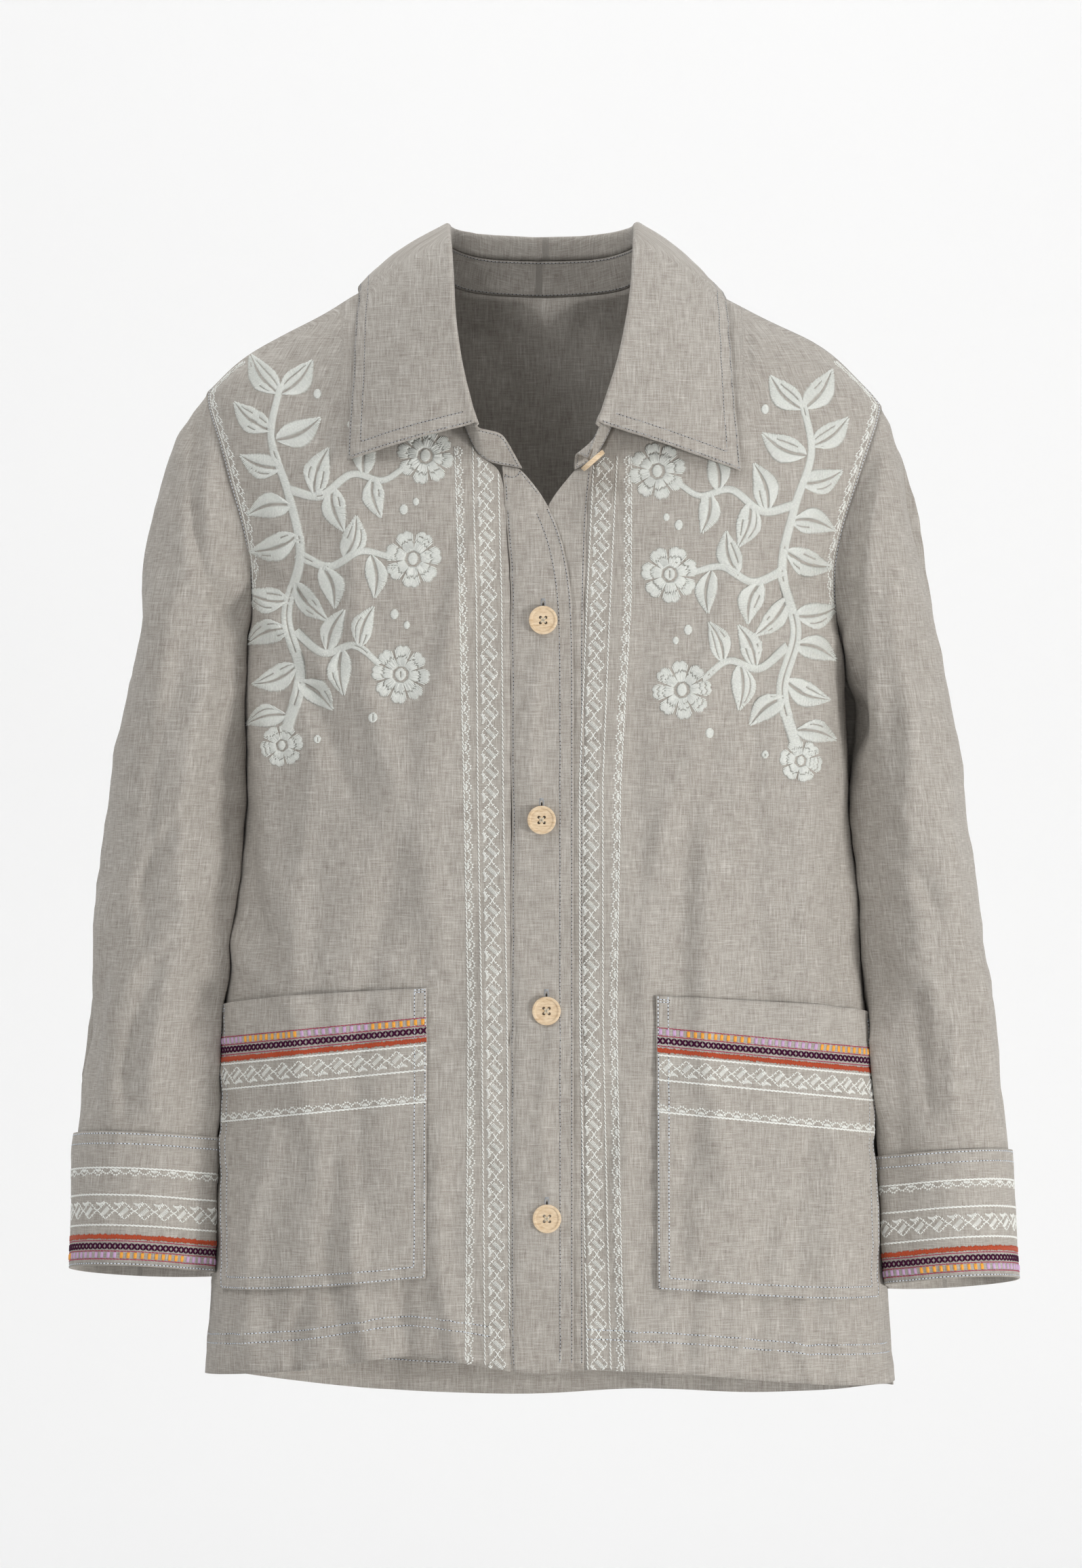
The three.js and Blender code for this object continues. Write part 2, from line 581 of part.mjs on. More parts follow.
// Edge points of a panel along its armhole, each with its normal and the way out of the panel
function edgeFrames(spots) {
  return spots.map(({ point, normal, inside }, i) => {
    const before = spots[Math.max(i - 1, 0)].point;
    const after = spots[Math.min(i + 1, spots.length - 1)].point;
    const along = after.clone().sub(before).normalize();
    const out = normal.clone().cross(along).normalize();
    if (out.dot(inside.clone().sub(point)) > 0) out.negate();
    return { point, normal, out };
  });
}

function armholeFrames(side, face) {
  const spots = [];
  for (let row = 0; row <= armholeRows; row += 1) {
    const { angle, z } = outerPlace(side, face, row);
    const within = panelPlace(side, face, row, 1 - 1 / panelColumns);
    spots.push({ ...onBody(side, angle, z), inside: bodyPoint(side, within.angle, within.z) });
  }
  return edgeFrames(spots);
}

// A point of a sleeve: the turn runs from the outer line, 0, over the front, 90, to the inner line, 180
function sleevePoint(side, ring, turn) {
  const at = sleeveAt[side];
  const angle = THREE.MathUtils.degToRad(turn);
  const outer = { x: at.outerX(ring), z: at.outerZ(ring) };
  const inner = { x: at.innerX(ring), z: at.innerZ(ring) };
  const centre = new THREE.Vector3((outer.x + inner.x) / 2, at.middleY(ring), (outer.z + inner.z) / 2);
  const half = new THREE.Vector3((outer.x - inner.x) / 2, 0, (outer.z - inner.z) / 2);
  const forward = Math.sin(angle) * (Math.sin(angle) > 0 ? at.front(ring) : at.back(ring));
  const point = centre.clone().addScaledVector(half, Math.cos(angle));
  point.y -= forward;
  point.z += at.tilt(ring) * forward;
  for (const fold of sleeveFolds[side]) {
    const grown = smooth((ring - fold.from) / foldEase.from) * smooth((fold.to - ring) / foldEase.to);
    const away = point.clone().sub(centre).normalize();
    point.addScaledVector(away, fold.rise * grown * bell(turn - fold.angle, fold.width));
  }
  return point;
}

const sleeveColumns = 2 * armholeRows;
const turnOf = (i) => (360 * i) / sleeveColumns;

function sleeveNormal(side, ring, turn) {
  const round = sleevePoint(side, ring, turn + 0.5).sub(sleevePoint(side, ring, turn - 0.5));
  const down = sleevePoint(side, ring + 0.02, turn).sub(sleevePoint(side, ring - 0.02, turn));
  const normal = round.cross(down).normalize();
  const away = sleevePoint(side, ring, turn).sub(sleevePoint(side, ring, turn + 180));
  return normal.dot(away) < 0 ? normal.negate() : normal;
}

// The sleeve starts on the armhole, fans out round the underarm and runs down into the cuff
function sleeveSheet(side) {
  const front = armholeFrames(side, "front");
  const back = armholeFrames(side, "back");
  const loop = [...front, ...back.slice(1, -1).reverse()];
  const rings = [...Array(sleeveEndRing).keys()].map((k) => k + 1);
  const sheet = gridSheet(sleeveColumns, rings.length, (i, j) => {
    const place = i % sleeveColumns;
    const turn = turnOf(place);
    if (j > 0) {
      const ring = rings[j - 1];
      return { point: sleevePoint(side, ring, turn), normal: sleeveNormal(side, ring, turn) };
    }
    const { point, normal, out } = loop[place];
    return { point: leaveSeam(point, normal, out, sleevePoint(side, 1, turn)), normal };
  }, { closed: true });
  const mean = meanNormals(sheet);
  const facing = mean[3 * sleeveColumns].dot(sleeveNormal(side, 3, 0)) < 0 ? -1 : 1;
  sheet.normals = mean.map((n) => n.multiplyScalar(facing));
  return orient(sheet);
}

function cuffSheet(side) {
  const lift = (clothWall + doubledWall) / 2 + layGap;
  return orient(gridSheet(sleeveColumns, cuffRings, (i, j) => {
    const ring = blend(cuffTopRing, cuffEndRing, j / cuffRings);
    const normal = sleeveNormal(side, ring, turnOf(i));
    return { point: sleevePoint(side, ring, turnOf(i)).addScaledVector(normal, lift), normal };
  }, { closed: true }));
}

// A patch pocket laid on its front, its mouth a little open
function pocketSheet(side) {
  const { topInner, topOuter, bottomInner, bottomOuter } = pockets[side];
  return orient(gridSheet(pocketGrid, pocketGrid, (i, j) => {
    const across = i / pocketGrid;
    const down = j / pocketGrid;
    const topZ = blend(topInner[1], topOuter[1], across);
    const sag = pocketBottomRound * Math.sin(Math.PI * across);
    const bottomZ = blend(bottomInner[1], bottomOuter[1], across) - sag;
    const z = blend(topZ, bottomZ, down);
    const innerX = sign[side] * blend(topInner[0], bottomInner[0], down);
    const outerX = sign[side] * blend(topOuter[0], bottomOuter[0], down);
    const angle = blend(angleAt(side, innerX, z), angleAt(side, outerX, z), across);
    const gape = mouthGape * Math.sin(Math.PI * across) * (1 - down) ** 3;
    return onBody(side, angle, z, clothWall + pocketGap + gape);
  }));
}

// Points of the stand's top, the fold's crest and the leaf's edge at a station of one half
function collarFrame(side, at) {
  const s = sign[side];
  const late = towardsEnd(at);
  const skew = collarSkew[side];
  const standX = s * (collarAt.standX(at) + skew.endX * late);
  const foldX = s * (collarAt.foldX(at) + skew.endX * late);
  const stand = new THREE.Vector3(standX, collarAt.standY(at), collarAt.standZ(at));
  const crest = new THREE.Vector3(foldX, collarAt.foldY(at), collarAt.foldZ(at));
  const leafX = s * (collarAt.leafX(at) + skew.leafX * late);
  const leafZ = collarAt.leafZ(at) + skew.leafZ * late;
  const leafAngle = angleAt(side, leafX, leafZ, at < shoulderStation);
  const lift = clothWall / 2 + doubledWall / 2 + layGap + leafLoft;
  const leaf = onBody(side, leafAngle, leafZ, lift);
  return { stand, crest, leaf: leaf.point, leafNormal: leaf.normal };
}

// The collar's section at a station: up from the stand, over the crest and down to the leaf's edge
function collarSection(side, at) {
  const { stand, crest, leaf, leafNormal } = collarFrame(side, at);
  const up = crest.clone().sub(stand).normalize();
  const out = leaf.clone().sub(crest);
  out.addScaledVector(up, -out.dot(up)).normalize();
  const opened = smooth((at - frontCollarStation - 1) / 3);
  const start = stand.clone().addScaledVector(up, seamGap + standToCollarEnd * opened);
  const inside = crest.clone().addScaledVector(out, -foldRadius).addScaledVector(up, -foldRadius);
  const outside = crest.clone().addScaledVector(out, foldRadius).addScaledVector(up, -foldRadius);
  const leafShares = [0.12, 0.3, 0.5, 0.75, 1];
  const fall = leafShares.map((t) => {
    const bulge = leafBulge * Math.sin(Math.PI * t);
    return outside.clone().lerp(leaf, t).addScaledVector(leafNormal, bulge);
  });
  return [start, inside, crest, outside, ...fall];
}

function collarSheet() {
  const columns = 2 * collarColumnsPerHalf;
  const sections = [];
  for (let i = 0; i <= columns; i += 1) {
    const along = i / collarColumnsPerHalf - 1;
    sections.push(collarSection(along < 0 ? "left" : "right", lastStation * Math.abs(along)));
  }
  const sheet = gridSheet(columns, sections[0].length - 1, (i, j) => ({ point: sections[i][j] }));
  const mean = meanNormals(sheet);
  const middle = collarColumnsPerHalf;
  const outwards = mean[(sections[0].length - 1) * (columns + 1) + middle].y > 0 ? 1 : -1;
  sheet.normals = mean.map((n) => n.multiplyScalar(outwards));
  return orient(sheet);
}

// Points along the neck seam of the whole body, from the left tab's end round the back to the right tab's end
function neckSeam() {
  const spots = [];
  const below = { back: 40, tab: 10 };
  const addFront = (side, row) => {
    const { angle, z } = frontInnerPlace(side, row);
    const within = panelPlace(side, "front", row, 1 / panelColumns);
    const inside = bodyPoint(side, within.angle, within.z);
    spots.push({ ...onBody(side, angle, z), inside, side, at: frontStation(row) });
  };
  const addBack = (side, row) => {
    const { angle, z } = backInnerPlace(side, row);
    const within = panelPlace(side, "back", row, 1 / panelColumns);
    const inside = row === neckRows
      ? bodyPoint(side, 180, z - below.back)
      : bodyPoint(side, within.angle, within.z);
    spots.push({ ...onBody(side, angle, z), inside, side, at: backStation(row) });
  };
  const addTab = (side, share) => {
    const top = frontEdges[side][0];
    const x = blend(top.seam, top.free, share);
    const z = blend(top.z, stripTopZ[side], share);
    const angle = angleAt(side, x, z);
    const inside = bodyPoint(side, angleAt(side, x, z - below.tab), z - below.tab);
    const at = blend(tabStations.from, tabStations.to, share);
    spots.push({ ...onBody(side, angle, z), inside, side, at });
  };
  [1, 0.5, 0].forEach((share) => addTab("left", share));
  for (let row = neckRows - 1; row >= 0; row -= 1) addFront("left", row);
  for (let row = 1; row <= neckRows; row += 1) addBack("left", row);
  for (let row = neckRows - 1; row >= 1; row -= 1) addBack("right", row);
  for (let row = 0; row < neckRows; row += 1) addFront("right", row);
  [0, 0.5, 1].forEach((share) => addTab("right", share));
  return spots;
}

// The stand's top edge, and the line two thirds up that the tab rolls over
function standLines(side, at, foot) {
  const top = collarFrame(side, Math.min(at, lastStation)).stand;
  const roll = foot.clone().lerp(top, 2 / 3);
  const along = Math.max(at - lastStation, 0) / (tabStations.to - lastStation);
  const { corner, roll: rollEnd } = tabEnd[side];
  top.lerp(new THREE.Vector3(...corner), along);
  roll.lerp(new THREE.Vector3(...rollEnd), along);
  return { top, roll };
}

function standSheet() {
  const seam = neckSeam();
  const frames = edgeFrames(seam);
  const rows = 3;
  const sheet = gridSheet(seam.length - 1, rows, (i, j) => {
    const { side, at } = seam[i];
    const { point, normal, out } = frames[i];
    const foot = leaveSeam(point, normal, out, standLines(side, at, point).roll);
    const { top, roll } = standLines(side, at, foot);
    const upper = (3 * j) / rows - 2;
    return { point: upper > 0 ? roll.lerp(top, upper) : foot.lerp(roll, (1.5 * j) / rows) };
  });
  const mean = meanNormals(sheet);
  const middle = Math.floor(seam.length / 2);
  const outwards = mean[seam.length + middle].y > 0 ? 1 : -1;
  sheet.normals = mean.map((n) => n.multiplyScalar(outwards));
  return orient(sheet);
}

// Boolean solids keep only their merged positions
function solidOf(geometry) {
  const bare = geometry.clone();
  bare.deleteAttribute("normal");
  bare.deleteAttribute("uv");
  const merged = mergeVertices(bare, 1e-4);
  const vertProperties = merged.attributes.position.array;
  const triVerts = new Uint32Array(merged.index.array);
  return new wasm.Manifold(new wasm.Mesh({ numProp: 3, vertProperties, triVerts }));
}

// A turned button with a raised rim, a dished middle and four holes, its face towards +Z
function buttonGeometry() {
  const { radius, back, thick, dish, rim, holeRadius, holeSpacing } = button;
  const { backEdge, faceEdge, edgeRound, dishSlope } = button;
  const profile = [
    [0, 0], [back, 0], [radius, backEdge], [radius, faceEdge], [radius - edgeRound, thick],
    [rim + dishSlope, thick], [rim, dish], [0, dish],
  ].map(([r, h]) => new THREE.Vector2(r, h));
  const turned = new THREE.LatheGeometry(profile, buttonSides).rotateX(Math.PI / 2);
  let solid = solidOf(turned);
  for (const [across, up] of [[-1, -1], [-1, 1], [1, -1], [1, 1]]) {
    const hole = new THREE.CylinderGeometry(holeRadius, holeRadius, 4 * thick, holeSides);
    hole.rotateX(Math.PI / 2);
    hole.translate(across * holeSpacing, up * holeSpacing, 0);
    solid = solid.subtract(solidOf(hole));
  }
  const { vertProperties, triVerts } = solid.getMesh();
  return geometryOf(Array.from(vertProperties), Array.from(triVerts));
}

const buttonShape = buttonGeometry();

function placeButton(name, point, facing) {
  const mesh = new THREE.Mesh(buttonShape, wood);
  mesh.name = name;
  mesh.position.copy(point);
  mesh.quaternion.setFromUnitVectors(new THREE.Vector3(0, 0, 1), facing);
  return mesh;
}

const group = new THREE.Group();
group.add(clothMesh("back", drawInEdges(backPanel()), clothWall));
group.add(clothMesh("placket", drawInEdges(frontStrip("left")), clothWall));
group.add(clothMesh("button_stand", drawInEdges(frontStrip("right")), clothWall));
for (const side of ["left", "right"]) {
  group.add(clothMesh(`front_${side}`, drawInEdges(frontPanel(side)), clothWall));
  group.add(clothMesh(`sleeve_${side}`, sleeveSheet(side), clothWall));
  group.add(clothMesh(`cuff_${side}`, cuffSheet(side), doubledWall));
  group.add(clothMesh(`pocket_${side}`, pocketSheet(side), clothWall));
}
group.add(clothMesh("collar_stand", standSheet(), clothWall));
group.add(clothMesh("collar", collarSheet(), doubledWall));
placketButtons.forEach(({ x, z, sink }, i) => {
  const seat = onBody("left", angleAt("left", x, z), z, placketLift + clothWall / 2 + buttonGap - sink);
  group.add(placeButton(`button_${i + 1}`, seat.point, seat.normal));
});
const slope = THREE.MathUtils.degToRad(collarButton.slope);
const collarButtonFacing = new THREE.Vector3(Math.sin(slope), 0, -Math.cos(slope));
const collarButtonSeat = new THREE.Vector3(collarButton.x, collarButton.y, collarButton.z)
  .addScaledVector(collarButtonFacing, -button.thick / 2);
group.add(placeButton("button_5", collarButtonSeat, collarButtonFacing));

export default group;
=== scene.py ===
# Dresses the jacket's solids: linen cloth, stitched borders, a stitched branch and turned wooden buttons
import bpy
import bmesh
import math
import random
import numpy as np
from mathutils import Vector, Matrix, noise
from mathutils.bvhtree import BVHTree


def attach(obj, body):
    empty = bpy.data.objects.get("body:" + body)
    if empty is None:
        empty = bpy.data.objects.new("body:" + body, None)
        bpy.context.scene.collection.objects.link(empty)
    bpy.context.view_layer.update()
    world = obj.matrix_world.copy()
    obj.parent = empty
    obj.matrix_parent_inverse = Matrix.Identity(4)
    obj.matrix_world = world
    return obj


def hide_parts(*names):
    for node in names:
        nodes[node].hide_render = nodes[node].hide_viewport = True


print("loading the frame")
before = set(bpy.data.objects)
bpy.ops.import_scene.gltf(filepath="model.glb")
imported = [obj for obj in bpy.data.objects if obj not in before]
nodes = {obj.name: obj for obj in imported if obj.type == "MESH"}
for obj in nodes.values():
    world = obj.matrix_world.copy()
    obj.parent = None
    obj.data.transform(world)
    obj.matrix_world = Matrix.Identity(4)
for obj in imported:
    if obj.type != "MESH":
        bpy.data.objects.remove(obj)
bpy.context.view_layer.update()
mm = 0.001


def addObject(name, data):
    made = bpy.data.objects.new(name, data)
    bpy.context.scene.collection.objects.link(made)
    return made


def meshObject(shape, name):
    mesh = bpy.data.meshes.new(name)
    shape.to_mesh(mesh)
    shape.free()
    return addObject(name, mesh)


# Camera and light, in m
view = {"distance": 6.0, "centreX": -0.9 * mm, "centreZ": -321 * mm, "planeY": -40 * mm,
        "frameHeight": 1017.7 * mm, "sensor": 24.0, "clipEnd": 60}
lights = [
    # name, place, size, power, colour
    ("keyLight", (2.6, -1.9, -1.0), 0.8, 106, (1.0, 0.99, 0.975)),
    ("leftLight", (-1.6, -1.8, 2.0), 1.0, 26, (0.98, 0.99, 1.0)),
    ("topLight", (0.1, -1.0, 2.3), 1.4, 11, (1.0, 1.0, 1.0)),
    ("wallLight", (0.0, 0.9, 1.9), 2.2, 22, (1.0, 1.0, 1.0)),
]
lightsAim = Vector((0, 0, -0.35))
worldStrength = 0.46
stageSizes = {"floorZ": -1.0, "front": -3.2, "wallY": 2.2, "halfWidth": 3.4, "wallTop": 2.2, "cove": 0.7,
              "coveSteps": 12, "near": 0.01}


def addCamera():
    data = bpy.data.cameras.new("photoCamera")
    data.sensor_fit = "VERTICAL"
    data.sensor_height = view["sensor"]
    data.lens = view["sensor"] * (view["distance"] + view["planeY"]) / view["frameHeight"]
    data.clip_end = view["clipEnd"]
    camera = addObject("photoCamera", data)
    camera.location = (view["centreX"], -view["distance"], view["centreZ"])
    camera.rotation_euler = (math.pi / 2, 0, 0)
    bpy.context.scene.camera = camera


def addLights():
    for name, place, size, power, colour in lights:
        data = bpy.data.lights.new(name, "AREA")
        data.shape = "DISK"
        data.size = size
        data.energy = power
        data.color = colour
        light = addObject(name, data)
        light.location = place
        light.rotation_euler = (lightsAim - Vector(place)).to_track_quat("-Z", "Y").to_euler()
    world = bpy.data.worlds.new("studio")
    world.use_nodes = True
    background = world.node_tree.nodes["Background"]
    background.inputs["Color"].default_value = (1.0, 1.0, 1.0, 1)
    background.inputs["Strength"].default_value = worldStrength
    bpy.context.scene.world = world
    bpy.context.scene.view_settings.view_transform = "Standard"


# Shader maths: a value in a material, on which + and * add Math nodes
class Shade:
    def __init__(self, maker, out):
        self.maker = maker
        self.out = out

    def maths(self, operation, first, second):
        return self.maker.node("ShaderNodeMath", {"operation": operation}, {0: first, 1: second})

    def __add__(self, other):
        return self.maths("ADD", self, other)

    def __radd__(self, other):
        return self.maths("ADD", other, self)

    def __mul__(self, other):
        return self.maths("MULTIPLY", self, other)

    def __rmul__(self, other):
        return self.maths("MULTIPLY", other, self)


class Maker:
    def __init__(self, name):
        self.material = bpy.data.materials.new(name)
        self.material.use_nodes = True
        self.tree = self.material.node_tree
        self.shader = self.tree.nodes["Principled BSDF"]

    def node(self, kind, settings=None, values=None, out=0):
        made = self.tree.nodes.new(kind)
        for name, setting in (settings or {}).items():
            if name == "stops":
                self.setRamp(made, setting)
            else:
                setattr(made, name, setting)
        for name, value in (values or {}).items():
            self.feed(made.inputs[name], value)
        return Shade(self, made.outputs[out])

    def setRamp(self, made, stops):
        ramp = made.color_ramp
        while len(ramp.elements) < len(stops):
            ramp.elements.new(0.5)
        for element, (place, colour) in zip(ramp.elements, stops):
            element.position = place
            element.color = (*colour, 1)

    def feed(self, socket, value):
        if isinstance(value, Shade):
            self.tree.links.new(value.out, socket)
        elif hasattr(value, "__len__") and socket.type == "RGBA" and len(value) == 3:
            socket.default_value = (*value, 1)
        else:
            socket.default_value = value

    def mixColour(self, factor, first, second, blend="MIX"):
        return self.node("ShaderNodeMix", {"data_type": "RGBA", "blend_type": blend},
                         {0: factor, 6: first, 7: second}, out=2)

    def noise(self, place, scale, stretch=(1, 1, 1), detail=2.0, roughness=0.5):
        stretched = tuple(scale * share for share in stretch)
        mapped = self.node("ShaderNodeMapping", {}, {"Vector": place, "Scale": stretched})
        return self.node("ShaderNodeTexNoise", {}, {"Vector": mapped, "Scale": 1.0, "Detail": detail,
                                                    "Roughness": roughness})

    def objectPlace(self):
        return self.node("ShaderNodeTexCoord", out=3)

    def range(self, value, low, high):
        return self.node("ShaderNodeMapRange", {}, {0: value, 1: low, 2: high})

    def ramp(self, value, stops):
        return self.node("ShaderNodeValToRGB", {"stops": stops}, {0: value})

    def bump(self, height, strength, distance, **under):
        sockets = {"Strength": strength, "Distance": distance, "Height": height, **under}
        return self.node("ShaderNodeBump", {}, sockets)

    def set(self, **values):
        for name, value in values.items():
            self.feed(self.shader.inputs[name.replace("_", " ")], value)
        return self.material


def srgb(red, green, blue):
    def linear(channel):
        channel /= 255
        return channel / 12.92 if channel <= 0.04045 else ((channel + 0.055) / 1.055) ** 2.4
    return tuple(linear(channel) for channel in (red, green, blue))


linenLook = {
    "base": srgb(166, 160, 152), "pale": srgb(199, 195, 188), "dark": srgb(131, 123, 115), "baseAt": 0.45,
    "threadPitch": 0.52 * mm, "slub": 9.5 * mm, "slubFrom": 0.60, "slubTo": 0.80,
    "toneFrom": 0.84, "toneTo": 1.64,
    # waves in a metre
    "mottle": 90.0, "patch": 11.0, "crumple": 38.0,
    # how much each part adds to the tone and to the height
    "tone": {"thread": 0.5, "slub": 0.16, "grain": 0.36, "weave": 0.05, "mottle": 0.15, "patch": 0.12,
             "warpYarn": 0.46, "weftYarn": 0.26},
    "height": {"weave": 0.5, "thread": 0.4, "slub": 0.5},
    "weaveBump": 0.5, "weaveDepth": 0.10 * mm, "wrinkleBump": 0.55, "wrinkleDepth": 2.7 * mm,
    "sheen": 0.08, "sheenRoughness": 0.6, "ior": 1.45, "roughness": 0.93,
}


# Plain weave: fine crossing threads, thicker and paler ones here and there, a faint mottle
def linenMaterial():
    look, toneOf, heightOf = linenLook, linenLook["tone"], linenLook["height"]
    make = Maker("linen")
    place = make.node("ShaderNodeUVMap", {"uv_map": "cloth"})
    fine = 1 / look["threadPitch"]
    slub = 1 / look["slub"]

    def threads(across, along, detail):
        return make.noise(place, 1.0, (across, along, 1), detail=detail)

    def thickened(value):
        return make.range(value, look["slubFrom"], look["slubTo"])

    def wave(axis):
        value = make.node("ShaderNodeSeparateXYZ", {}, {0: place}, out=axis)
        sine = make.node("ShaderNodeMath", {"operation": "SINE"}, {0: value * (math.pi * fine)})
        return sine * sine * 0.5

    thread = threads(fine, slub, 1.0) + threads(slub, fine, 1.0)
    thick = (thickened(threads(fine * 0.55, slub * 0.6, 0.0))
             + thickened(threads(slub * 0.6, fine * 0.55, 0.0)))
    grain = threads(fine * 0.7, fine * 0.7, 1.0)
    warpYarn = threads(fine * 0.42, slub * 0.8, 1.0)
    weftYarn = threads(slub, fine * 0.42, 1.0)
    weave = wave(0) + wave(1)
    mottle = make.noise(place, look["mottle"], (1, 0.5, 1), detail=2.0)
    patch = make.noise(place, look["patch"], detail=1.0)
    tone = (thread * toneOf["thread"] + thick * toneOf["slub"] + grain * toneOf["grain"]
            + weave * toneOf["weave"] + mottle * toneOf["mottle"] + patch * toneOf["patch"]
            + warpYarn * toneOf["warpYarn"] + weftYarn * toneOf["weftYarn"])
    level = make.range(tone, look["toneFrom"], look["toneTo"])
    colour = make.ramp(level, [(0.0, look["dark"]), (look["baseAt"], look["base"]), (1.0, look["pale"])])
    height = weave * heightOf["weave"] + thread * heightOf["thread"] + thick * heightOf["slub"]
    weaveBump = make.bump(height, look["weaveBump"], look["weaveDepth"])
    crumple = make.noise(place, look["crumple"], (1, 0.6, 1), detail=4.0, roughness=0.55)
    normal = make.bump(crumple, look["wrinkleBump"], look["wrinkleDepth"], Normal=weaveBump)
    make.set(Sheen_Weight=look["sheen"], Sheen_Roughness=look["sheenRoughness"], IOR=look["ior"])
    return make.set(Base_Color=colour, Roughness=look["roughness"], Normal=normal)


# Stitch thread: a soft gloss, with small random changes of tone from stitch to stitch; the darker tone is
# painted shade, standing in for the dark lines between stitches
threadLook = {"change": 900.0, "lift": 1.06, "sheen": 0.15, "sheenRoughness": 0.4, "specular": (0.15, 0.35)}


# Dark threads shine less than pale ones, or they would look grey
def threadMaterial(name, colour, shade, roughness):
    look = threadLook
    make = Maker(name)
    change = make.noise(make.objectPlace(), look["change"], detail=1.0)
    # painted shade: the darker end of the random tone stands in for the shade between stitches
    dark = tuple(channel * shade for channel in colour)
    tinted = make.mixColour(change, dark, tuple(min(channel * look["lift"], 1) for channel in colour))
    least, more = look["specular"]
    make.set(Sheen_Weight=look["sheen"] * max(colour), Sheen_Roughness=look["sheenRoughness"],
             Specular_IOR_Level=least + more * max(colour))
    return make.set(Base_Color=tinted, Roughness=roughness)


woodLook = {
    "pale": srgb(236, 215, 186), "base": srgb(220, 196, 163), "dark": srgb(190, 157, 118),
    "stops": (0.3, 0.5, 0.72), "rings": (210, 210, 900), "fleck": (500, 500, 3800),
    "ringShare": 0.75, "fleckShare": 0.25,
    "bump": 0.25, "depth": 0.08 * mm, "coat": 0.15, "coatRoughness": 0.35, "roughness": 0.42,
}


def woodMaterial():
    look = woodLook
    make = Maker("buttonWood")
    place = make.objectPlace()
    rings = make.noise(place, 1.0, look["rings"], detail=3.0, roughness=0.6)
    fleck = make.noise(place, 1.0, look["fleck"], detail=2.0)
    stops = list(zip(look["stops"], (look["dark"], look["base"], look["pale"])))
    colour = make.ramp(rings * look["ringShare"] + fleck * look["fleckShare"], stops)
    bump = make.bump(fleck, look["bump"], look["depth"])
    make.set(Coat_Weight=look["coat"], Coat_Roughness=look["coatRoughness"])
    return make.set(Base_Color=colour, Roughness=look["roughness"], Normal=bump)


# Paper for the floor and wall; it is clear from behind, so that the jacket's back can be looked at
def paperMaterial(colour, roughness):
    make = Maker("paper")
    mottle = make.noise(make.objectPlace(), 3.0, detail=2.0)
    tinted = make.mixColour(mottle, colour, tuple(channel * 0.985 for channel in colour))
    make.set(Base_Color=tinted, Roughness=roughness)
    behind = make.node("ShaderNodeNewGeometry", out=6)
    paper = Shade(make, make.shader.outputs[0])
    clear = make.node("ShaderNodeBsdfTransparent")
    shown = make.node("ShaderNodeMixShader", {}, {0: behind, 1: paper, 2: clear})
    make.feed(make.tree.nodes["Material Output"].inputs["Surface"], shown)
    return make.material


# A pale floor that turns up into a wall far behind
def addStage():
    size = stageSizes
    shape = bmesh.new()
    bmesh.ops.create_grid(shape, x_segments=2, y_segments=1, size=1)
    bmesh.ops.delete(shape, geom=[f for f in shape.faces if f.calc_center_median().x > 0], context="FACES")
    low, high, near = size["front"], size["wallY"], size["near"]
    for v in shape.verts:
        across = (-1 if v.co.y < 0 else 1) * size["halfWidth"]
        v.co = Vector((across, high if v.co.x > -0.5 else low, size["floorZ"]))
    back = [e for e in shape.edges if all(v.co.y > high - near for v in e.verts)]
    raised = bmesh.ops.extrude_edge_only(shape, edges=back)
    wall = [v for v in raised["geom"] if isinstance(v, bmesh.types.BMVert)]
    bmesh.ops.translate(shape, verts=wall, vec=(0, 0, size["wallTop"] - size["floorZ"]))
    corner = [e for e in shape.edges
              if all(abs(v.co.y - high) < near and v.co.z < size["floorZ"] + near for v in e.verts)]
    bmesh.ops.bevel(shape, geom=corner, offset=size["cove"], offset_type="OFFSET", affect="EDGES",
                    segments=size["coveSteps"], profile=0.5, material=-1)
    bmesh.ops.recalc_face_normals(shape, faces=shape.faces)
    if min(shape.faces, key=lambda f: f.calc_center_median().y).normal.z < 0:
        bmesh.ops.reverse_faces(shape, faces=shape.faces)
    sweep = meshObject(shape, "sweep")
    sweep.data.shade_smooth()
    sweep.data.materials.append(paperMaterial(srgb(247, 247, 247), 0.95))


# Cloth pieces: each is the outer skin of its solid, made fine, creased, and given a thin wall again
clothPieces = {
    # wall of the solid, levels of subdivision, wall of the cloth, and which way the outer skin faces
    "back": {"solid": 1.4, "levels": 2, "wall": 1.0, "faces": (0, 1, 0)},
    "front_left": {"solid": 1.4, "levels": 3, "wall": 1.0, "faces": (0, -1, 0)},
    "front_right": {"solid": 1.4, "levels": 3, "wall": 1.0, "faces": (0, -1, 0)},
    "placket": {"solid": 1.4, "levels": 3, "wall": 1.2, "faces": (0, -1, 0)},
    "button_stand": {"solid": 1.4, "levels": 3, "wall": 1.2, "faces": (0, -1, 0)},
    "pocket_left": {"solid": 1.4, "levels": 3, "wall": 1.1, "faces": (0, -1, 0)},
    "pocket_right": {"solid": 1.4, "levels": 3, "wall": 1.1, "faces": (0, -1, 0)},
    "sleeve_left": {"solid": 1.4, "levels": 3, "wall": 1.0, "faces": None},
    "sleeve_right": {"solid": 1.4, "levels": 3, "wall": 1.0, "faces": None},
    "cuff_left": {"solid": 2.0, "levels": 2, "wall": 1.5, "faces": None},
    "cuff_right": {"solid": 2.0, "levels": 2, "wall": 1.5, "faces": None},
    "collar_stand": {"solid": 1.4, "levels": 2, "wall": 1.2, "faces": "out"},
    "collar": {"solid": 2.0, "levels": 2, "wall": 1.5, "faces": "out"},
}


skinSizes = {"weld": 0.02 * mm, "rimSlack": 0.004 * mm}


